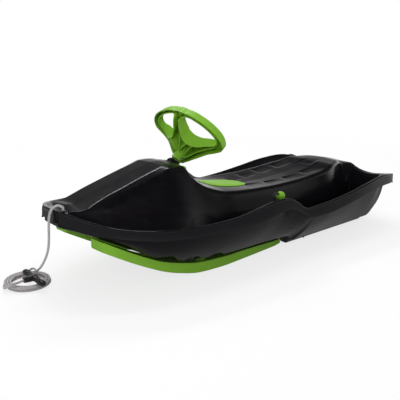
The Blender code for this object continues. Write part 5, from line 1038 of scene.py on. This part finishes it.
# Wheel: hub is the boss's outline as radius and distance down the column
wheelSetup = {"centre": (0.126, 0, 0.365), "tilt": 0.500, "turn": math.radians(9.2),
              "lean": math.radians(40), "foot": (0.180, 0, sled["hoodTop"] + 0.002), "wall": 0.0028,
              "rib": 2.4,
              "hub": [(0, -0.0415), (0.0069, -0.0415), (0.0069, 0.0038), (0.0073, 0.0042), (0.0142, 0.0042),
                      (0.0150, 0.0034), (0.0151, -0.0020), (0.0162, -0.0110), (0.0188, -0.0230),
                      (0.0215, -0.0340), (0.0230, -0.0430), (0.0231, -0.0480), (0.0222, -0.0510),
                      (0.0200, -0.0525), (0.0100, -0.0532), (0, -0.0534)]}
# Stations round one opening, in millimetres sideways, up and forward: edge of the opening, outline or
# middle line, foot of the opening's wall, foot of the outer wall, then swell of the face and its kind
wheelStations = [
    (13, 64, 19, 0, 78.5, 6, 11, 65, 42, 0, 79.5, 23.5, 5.0, 0.5),
    (22, 66, 12, 18, 77.5, 6, 21, 67, 28, 18, 78.5, 23.5, 7.0, 0),
    (36, 62.8, 9, 43, 73.5, 6, 35, 64, 23.5, 43.5, 74.5, 23.5, 7.5, 0),
    (52, 57.6, 8, 63, 66.5, 6, 51, 59, 23.5, 64, 67.5, 23.5, 7.5, 0),
    (68, 51, 8, 82, 58, 6, 67.5, 52.5, 23.5, 84, 59.3, 23.5, 7.5, 0),
    (83, 43, 8, 99, 47.5, 6, 83, 44.3, 23.5, 101.5, 49, 23.5, 7.5, 0),
    (97, 32.5, 8, 113, 35, 6, 97.5, 33.5, 23.5, 116, 36.5, 23.5, 7.5, 0),
    (108, 20, 8, 123, 21, 6, 109, 20.5, 23.5, 127, 22, 23.5, 7.5, 0),
    (111.5, 10, 8, 128, 6, 6, 113, 10, 23.5, 132.5, 6.5, 23.5, 7.5, 0),
    (109, 3, 8.5, 127.5, -9, 6, 111, 0, 24, 132, -10, 23.5, 7.0, 0),
    (101, 0, 9, 119, -22, 7, 103, -7, 25, 120, -24, 23.5, 6.5, 0),
    (90, 0.5, 10.5, 100, -30, 10, 92, -9, 30, 101, -32, 28, 5.0, 0),
    (74, 2.5, 15, 78, -34, 17, 76, -8.5, 38, 78, -37, 38, 4.0, 0),
    (60, 4.5, 21, 58, -39, 26, 62, -8, 47, 57, -43.5, 52, 4.0, 0),
    (47, 8.5, 24, 40, -45, 34, 47, -2, 57, 40, -48, 64, 4.0, 0),
    (35, 15, 26, 24, -53, 40, 34, 5, 61, 24, -54, 72, 3.5, 0),
    (25, 22.5, 25, 8, -58, 42, 23, 11, 60, 8, -54, 80, 3.0, 0.5),
    (20.5, 27, 24, 0, -30, 33, 18, 18, 58, 0, -30, 33, 3.0, 1),
    (18.5, 32, 22.5, 0, -5, 29, 16, 25, 56, 0, -5, 29, 3.0, 1),
    (15, 40, 21.5, 0, 20, 24, 13, 34, 53, 0, 20, 24, 3.5, 1),
    (13, 50, 20.5, 0, 45, 19, 11.5, 46, 50, 0, 45, 19, 4.0, 1),
    (12.5, 57, 20, 0, 60, 16, 11, 57, 46, 0, 60, 16, 4.5, 1)]
# Ribs inside the channel: rows of sideways, up, near and far depth, in millimetres
wheelRibs = [[(0, 66, 17, 24), (0, 40, 22, 34), (0, 15, 27, 48), (0, -8, 31, 60), (0, -24, 35, 70)],
             [(6, -20, 35, 74), (16, -9, 32, 71), (26, 0, 29, 66), (33.5, 6, 28, 60)],
             [(14, -38, 40, 80), (30, -36, 38, 70), (50, -27, 29, 54), (76, -20, 20, 38), (98, -16, 13, 27)],
             [(12, -46, 42, 80), (22, -30, 36, 72), (36, -12, 30, 62), (47, -3, 27, 56)]]


# The straight wheel turned about the column to where it stands in the photograph
def turnedWheel(points):
    w = wheelSetup
    axis = (-math.cos(w["lean"]), 0, math.sin(w["lean"]))
    return turnedAbout(points, w["foot"], axis, w["turn"])


# Millimetres in the straight wheel's own frame to metres in the turned wheel's place
def wheelPoint(mm):
    w = wheelSetup
    mm = np.asarray(mm, float) / 1000
    s, c = math.sin(w["tilt"]), math.cos(w["tilt"])
    return turnedWheel(np.array(w["centre"]) + mm[..., 0:1] * (0, 1, 0) + mm[..., 1:2] * (s, 0, c)
                       + mm[..., 2:3] * (c, 0, -s))


# Half moon wheel, open to the front: inner walls, face and outer wall; the face swells by
# sqrt(4 s (1 - s)) across the rim and by sin(pi s / 2)^0.7 up to the middle line
def makeWheel():
    table = throughPoints(wheelStations, 6, closed=True)
    a, b, f, e = (table[:, None, i:i + 3].copy() for i in (0, 3, 6, 9))
    b[..., 0], e[..., 0] = np.maximum(b[..., 0], 0), np.maximum(e[..., 0], 0)
    swell, kind = table[:, 12][:, None], np.clip(table[:, 13], 0, 1)[:, None]
    s = ((1 - np.cos(np.linspace(0, math.pi, 15))) / 2)[None, :]
    lift = swell * mixed(np.sqrt(np.maximum(4 * s * (1 - s), 0)), np.sin(math.pi * s / 2) ** 0.7, kind)
    face = mixed(a, b, s[:, :, None])
    face[..., 2] -= lift
    inner = mixed(f, a, np.array([0, 0.3, 0.6, 0.85])[None, :, None])
    # at the crest the face meets the outer wall where the swell left it
    edge = b.copy()
    edge[..., 2] -= lift[:, -1:]
    outer = mixed(edge, e, np.array([0.15, 0.4, 0.7, 1.0])[None, :, None])
    outer = np.where((kind > 0.75)[:, :, None], edge, outer)
    half = np.concatenate([inner, face, outer], axis=1)
    parts = [gridPart(wheelPoint(half * (way, 1, 1)), half[..., :2], flip=way > 0, closedRows=True)
             for way in (1, -1)]
    shell = meshFrom("wheelShell", parts, greenPlastic, weld=2e-5)
    thicken(shell, wheelSetup["wall"])
    return shell


# A rib is a closed strip of rectangles: near edge, far edge and half the thickness to each side
def ribPart(rows, mirror):
    rows = throughPoints(rows, 4)
    if mirror:
        rows = rows * (-1, 1, 1, 1)
    way = np.gradient(rows[:, :2], axis=0)
    way /= np.linalg.norm(way, axis=1, keepdims=True)
    out = np.stack([way[:, 1], -way[:, 0]], axis=1) * wheelSetup["rib"] / 2
    corners = []
    for side, depth in ((-1, 2), (1, 2), (1, 3), (-1, 3)):
        corners.append(np.concatenate([rows[:, :2] + side * out, rows[:, depth:depth + 1]], axis=1))
    return gridPart(wheelPoint(capped(np.stack(corners, axis=1))), closedCols=True)


# Ribs, all but the first on both sides, and the tapered boss on the column
def makeWheelCore():
    w = wheelSetup
    parts = []
    for i, rib in enumerate(wheelRibs):
        parts += [ribPart(rib, mirror) for mirror in ((False,) if i == 0 else (False, True))]
    down = (math.cos(w["lean"]), 0, -math.sin(w["lean"]))
    dense = evenly(np.array(w["hub"]), 60)
    profile = np.vstack([dense[:1] * (0, 1), dense[1:-1], dense[-1:] * (0, 1)])
    grid, quads, uv = revolved(profile, 40, w["foot"], down, (0, 1, 0))
    parts.append((turnedWheel(grid), quads, uv))
    return meshFrom("wheelCore", parts, greenPlastic, weld=1e-6, smooth=40, outward=True)


# Puts two meshes into one object without changing either
def joinPieces(first, second, name):
    bpy.ops.object.select_all(action="DESELECT")
    first.select_set(True)
    second.select_set(True)
    bpy.context.view_layer.objects.active = first
    bpy.ops.object.join()
    first.name = name
    return first


steeringWheel = joinPieces(makeWheel(), makeWheelCore(), "halfMoonWheel")
smoothUnder(steeringWheel, 38)
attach(steeringWheel, "steering")
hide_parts("steering_wheel")
print("wheel", len(steeringWheel.data.polygons))

# Ski: turned by the share of the wheel's turn that the steering rods pass on
skiSetup = {"pin": (0.200, 0.110), "turn": math.radians(9.2) * 0.040 / 0.106, "plate": 0.006,
            "postRadius": 0.014, "postTop": 0.104, "groove": 0.0013, "ribPitch": 0.034, "ribHeight": 0.0030}
skiLines = {"inner": monotoneLine([(-0.118, 0.076), (0.100, 0.074), (0.300, 0.071), (0.508, 0.066)]),
            "outer": monotoneLine([(-0.118, 0.150), (0.000, 0.153), (0.150, 0.154), (0.300, 0.151),
                                   (0.430, 0.141), (0.480, 0.132), (0.508, 0.119)]),
            "bottom": monotoneLine([(-0.118, 0.0025), (-0.088, 0.0), (0.112, 0.0), (0.172, 0.0029),
                                    (0.229, 0.0082), (0.299, 0.0259), (0.347, 0.0433), (0.393, 0.0652),
                                    (0.436, 0.0878), (0.477, 0.1110), (0.508, 0.1290)]),
            "side": monotoneLine([(-0.118, 0.016), (0.070, 0.027), (0.229, 0.030), (0.300, 0.029),
                                  (0.392, 0.026), (0.508, 0.026)])}


# Ski: sections with rounded walls, grooves in the running face, cross ribs 6 cos(2 pi x / pitch) - 4.6
# kept within 0 to 1 in the top, and its post as a turned profile
def makeSki(side, word):
    k = skiSetup
    tail, tip = sled["skiTail"], sled["skiTip"]
    xs = rowPlaces([(tail + 0.0015, 40), (0.110, 60), (0.300, 70), (tip - 0.0015, 0)])
    one = np.ones_like(xs)
    a, b, z = skiLines["inner"](xs), skiLines["outer"](xs), skiLines["bottom"](xs)
    top = z + skiLines["side"](xs)
    ends = window(xs, tail + 0.004, tail + 0.016, tip - 0.016, tip - 0.004)
    ribs = np.clip(np.cos(2 * math.pi * xs / k["ribPitch"]) * 6 - 4.6, 0, 1) * k["ribHeight"]
    post = np.exp(-((xs - k["pin"][0]) / 0.040) ** 4)
    plate = top - mixed(0.0004, k["plate"] - ribs * (1 - post), ends)
    cut = z + k["groove"] * ends
    m = (a + b) / 2
    corners = [(m, cut), (m + 0.004, cut), (m + 0.006, z), (b - 0.019, z), (b - 0.017, cut), (b - 0.012, cut),
               (b - 0.010, z), (b, z), (b, top), (b - 0.0036, top), (b - 0.0058, plate), (m, plate),
               (a + 0.0058, plate), (a + 0.0036, top), (a, top), (a, z), (a + 0.010, z), (a + 0.012, cut),
               (a + 0.017, cut), (a + 0.019, z), (m - 0.006, z), (m - 0.004, cut), (m, cut)]
    radii = [0.0008 * one] * len(corners)
    radii[7], radii[15] = 0.004 * one, 0.003 * one
    steps = [0] + [2] * (len(corners) - 2) + [0]
    steps[7], steps[15] = 4, 4
    spans = [0] + [1] * (len(corners) - 1)
    spans[8], spans[11], spans[12], spans[15] = 3, 3, 3, 3
    section = roundedLines(cornerLines(corners, one), radii, steps, spans)
    rings = together(xs[:, None], section[:, :, 0] * side, section[:, :, 1])
    middle = rings.mean(axis=1, keepdims=True)
    caps = []
    for row, way in ((0, -1), (-1, 1)):
        for run, shrink in ((0.0009, 0.985), (0.0014, 0.95), (0.0015, 0.5), (0.0015, 0.0)):
            ring = middle[row] + (rings[row] - middle[row]) * shrink
            ring[:, 0] += way * run
            caps.append(ring)
    grid = np.concatenate([np.array(caps[:4][::-1]), rings, np.array(caps[4:])])
    base = float(np.interp(k["pin"][0], xs, plate)) - 0.004
    shoulder = float(at["recess"](k["pin"][0])) - 0.0025
    q, height = k["postRadius"], k["postTop"]
    profile = [(0, height - 0.022), (0.0026, height - 0.022), (0.0026, height), (q - 0.0008, height),
               (q, height - 0.0008), (q, shoulder + 0.0008), (q + 0.0008, shoulder), (q + 0.0072, shoulder),
               (q + 0.0080, shoulder - 0.0010), (q + 0.0100, base), (0, base)]
    pin = np.array([k["pin"][0], side * k["pin"][1], 0])
    whole = [gridPart(turnedAbout(grid, pin, (0, 0, 1), k["turn"]), flip=side > 0),
             revolved(profile, 40, pin, (0, 0, 1), (1, 0, 0))]
    ski = meshFrom("ski_" + word + "_moulding", whole, greenPlastic, weld=1e-6, smooth=40, outward=True)
    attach(ski, word + "_ski")
    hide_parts("ski_" + word)
    return ski


for side, word in ((1, "left"), (-1, "right")):
    makeSki(side, word)
print("skis made")


# Height of the upper shell's surface at points with x and y of the same shape
def deckTop(x, y):
    xs = np.linspace(x.min() - 0.002, x.max() + 0.002, 60)
    across = np.linspace(0, 0.06, 40)
    table = np.stack([np.interp(across, row[:60, 0], row[:60, 1]) for row in deckHalf(xs)])
    i = (x - xs[0]) / (xs[1] - xs[0])
    j = np.abs(y) / (across[1] - across[0])
    i0, j0 = np.clip(i.astype(int), 0, 58), np.clip(j.astype(int), 0, 38)
    u, v = i - i0, j - j0
    near = mixed(table[i0, j0], table[i0 + 1, j0], u)
    return mixed(near, mixed(table[i0, j0 + 1], table[i0 + 1, j0 + 1], u), v)


padSetup = {"at": 0.012, "length": 0.176, "width": 0.096, "gap": 0.0004, "thick": 0.0036, "squareness": 2.3,
            "around": 96}


# Oval pad laid on the deck: superellipse rings at a height of 1 - 0.75 share^10 of its thickness
def makePad():
    p = padSetup
    a = np.linspace(0, 2 * math.pi, p["around"], endpoint=False)
    c, s = np.cos(a), np.sin(a)
    power = 2 / p["squareness"]
    cx, cy = np.sign(c) * np.abs(c) ** power, np.sign(s) * np.abs(s) ** power
    share = np.concatenate([np.linspace(0, 0.85, 12), [0.90, 0.94, 0.965, 0.985, 0.996, 1.0]])[:, None]
    x = p["at"] + p["length"] / 2 * share * cx
    y = p["width"] / 2 * share * cy
    ground = deckTop(x, y) + p["gap"]
    # a shallow groove runs round inside the edge
    groove = 0.0007 * np.exp(-((share - 0.90) / 0.022) ** 2)
    top = ground + p["thick"] * (1 - share ** 10 * 0.75) - groove
    grid = np.concatenate([together(x, y, top), together(x, y, ground)[::-1]])
    pad = meshFrom("ovalPad", [gridPart(grid, closedCols=True)], greenPlastic, weld=1e-6)
    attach(pad, "sled")
    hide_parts("oval_insert")
    return pad


makePad()

knobSetup = {"radius": 0.0125, "groove": 0.0005, "neck": 0.0052}


# Ball knobs: a sphere (r cos a, r sin a) with a groove exp(-(a / 0.05)^2) round its middle and a neck
def makeKnobs():
    k = knobSetup
    a = np.linspace(-math.pi / 2 + 0.43, math.pi / 2, 44)
    r = k["radius"] - k["groove"] * np.exp(-(a / 0.05) ** 2)
    neck = [(0, -0.0060), (0.0042, -0.0060), (0.0042, -0.0120), (k["neck"], -0.0122)]
    profile = np.vstack([neck, together(r * np.cos(a), r * np.sin(a))])
    profile[-1, 0] = 0
    for word in ("left", "right"):
        low, high = (np.array(c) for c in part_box("brake_knob_" + word))
        parts = [revolved(profile, 48, (low + high) / 2, (0, 0, 1), (1, 0, 0))]
        knob = meshFrom("ball_knob_" + word, parts, greenPlastic, weld=1e-6, smooth=50, outward=True)
        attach(knob, word + "_brake")
        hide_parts("brake_knob_" + word)


makeKnobs()
print("pad and knobs made")

# Floor, backdrop and light, with painted shade on the floor near the sled for reflections; each lamp has its
# place, size and power
stageSetup = {"floor": (0.93, 0.93, 0.93), "reach": 14.0, "sky": 0.62, "seen": 1.0, "overhead": 3.6,
              "horizon": 0.80, "shadowShare": 0.24, "nearMirrorShade": 0.26, "fade": (0.8, 2.4),
              "aim": (0.05, 0, 0.15),
              "lamps": [((-0.30, -1.35, 2.05), (1.8, 0.30), 22.0), ((-0.05, -0.16, 2.20), (1.9, 0.16), 13.0),
                        ((1.90, 1.30, 1.30), (0.9, 0.9), 7.0)]}


# Masks of the rays of reflections and of the rays that see a thing directly
def rayMasks(tree):
    ray = addNode(tree, "LightPath").outputs
    return ray["Is Glossy Ray"], mathNode(tree, "MAXIMUM", ray["Is Camera Ray"], ray["Is Transmission Ray"])


def makeFloor():
    s = stageSetup
    x, y = np.meshgrid(*[np.linspace(-s["reach"], s["reach"], 9)] * 2, indexing="ij")
    mat, tree, shader = newMaterial("studioFloor")
    feed(tree, shader, {"Base Color": s["floor"] + (1.0,), "Roughness": 0.9, "Specular IOR Level": 0.1})
    real = tree.nodes["Principled BSDF"].outputs[0]
    place = addNode(tree, "TexCoord").outputs["Object"]
    away = addNode(tree, "VectorMath", {0: place}, operation="LENGTH").outputs["Value"]
    # white for the rays that see the floor, with a share of the real shading near the sled
    share = ramp(tree, away, *s["fade"], 1 - s["shadowShare"], 1.0, interpolation_type="SMOOTHSTEP")
    plain = addNode(tree, "Emission", {"Color": white, "Strength": s["seen"]}).outputs[0]
    # reflections see painted shade on the floor beside the sled: a dim glow that turns white with distance
    mirror = ramp(tree, away, *s["fade"], s["nearMirrorShade"], s["seen"], interpolation_type="SMOOTHSTEP")
    reflectedShade = addNode(tree, "Emission", {"Color": white, "Strength": mirror}).outputs[0]
    glossy, seen = rayMasks(tree)
    direct = mixShader(tree, mathNode(tree, "MULTIPLY", seen, share), real, plain)
    feed(tree, tree.nodes["Material Output"].inputs, {"Surface": mixShader(tree, glossy, direct, reflectedShade)})
    meshFrom("studioFloor", [gridPart(together(x, y, -0.0002))], mat)


def makeWorld():
    s = stageSetup
    world = bpy.data.worlds.new("studioWorld")
    scene.world = world
    world.use_nodes = True
    tree = world.node_tree
    base = tree.nodes["Background"]
    feed(tree, base.inputs, {"Color": white, "Strength": s["sky"]})
    plain = addNode(tree, "Background", {"Color": white, "Strength": s["seen"]}).outputs[0]
    # reflections see the white backdrop at the horizon and the dark studio ceiling overhead
    place = addNode(tree, "TexCoord").outputs["Generated"]
    up = addNode(tree, "SeparateXYZ", {"Vector": place}).outputs["Z"]
    low = mathNode(tree, "SUBTRACT", 1.0, mathNode(tree, "MAXIMUM", up, 0.0))
    bright = mathNode(tree, "MULTIPLY", mathNode(tree, "POWER", low, s["overhead"]), s["horizon"])
    mirrored = addNode(tree, "Background", {"Color": white, "Strength": bright}).outputs[0]
    glossy, seen = rayMasks(tree)
    lit = mixShader(tree, glossy, base.outputs[0], mirrored)
    feed(tree, tree.nodes["World Output"].inputs, {"Surface": mixShader(tree, seen, lit, plain)})


# Soft lamps aimed at the sled; only the first shows in reflections
def makeLamps():
    for i, (spot, size, power) in enumerate(stageSetup["lamps"]):
        data = bpy.data.lights.new("softLamp%d" % i, "AREA")
        data.shape = "RECTANGLE"
        data.size, data.size_y = size
        data.energy = power
        lamp = bpy.data.objects.new("softLamp%d" % i, data)
        lamp.location = spot
        aim = Vector(stageSetup["aim"]) - Vector(spot)
        lamp.rotation_euler = aim.to_track_quat("-Z", "Y").to_euler()
        lamp.visible_glossy = i == 0
        scene.collection.objects.link(lamp)


makeFloor()
makeWorld()
makeLamps()
scene.view_settings.view_transform = "Standard"
print("stage made")

# Finishes of the CAD nodes; the rest are steel
nodeFinish = {"deck_shell": blackPlastic, "hull_shell": blackPlastic, "column_collar": blackPlastic,
              "upper_bush": nylonPlastic, "lower_bush": nylonPlastic,
              "ski_bush_left": nylonPlastic, "ski_bush_right": nylonPlastic, "shaft_bracket": innerPlastic,
              "cord_eyelet": innerPlastic, "reel_seat": innerPlastic, "reel_case": innerPlastic,
              "reel_cover": innerPlastic, "reel_spool": innerPlastic, "tie_bar": innerPlastic,
              "wound_cord": cordFibre, "cord_lead": cordFibre, "steering_wheel": greenPlastic,
              "ski_left": greenPlastic, "ski_right": greenPlastic, "oval_insert": greenPlastic,
              "brake_knob_left": greenPlastic, "brake_knob_right": greenPlastic,
              "brake_lever_left": blackPaint, "brake_lever_right": blackPaint,
              "brake_bracket_left": blackPaint, "brake_bracket_right": blackPaint}
for name, obj in nodes.items():
    obj.data.materials.clear()
    obj.data.materials.append(nodeFinish.get(name, steelMetal))
print("nodes finished")
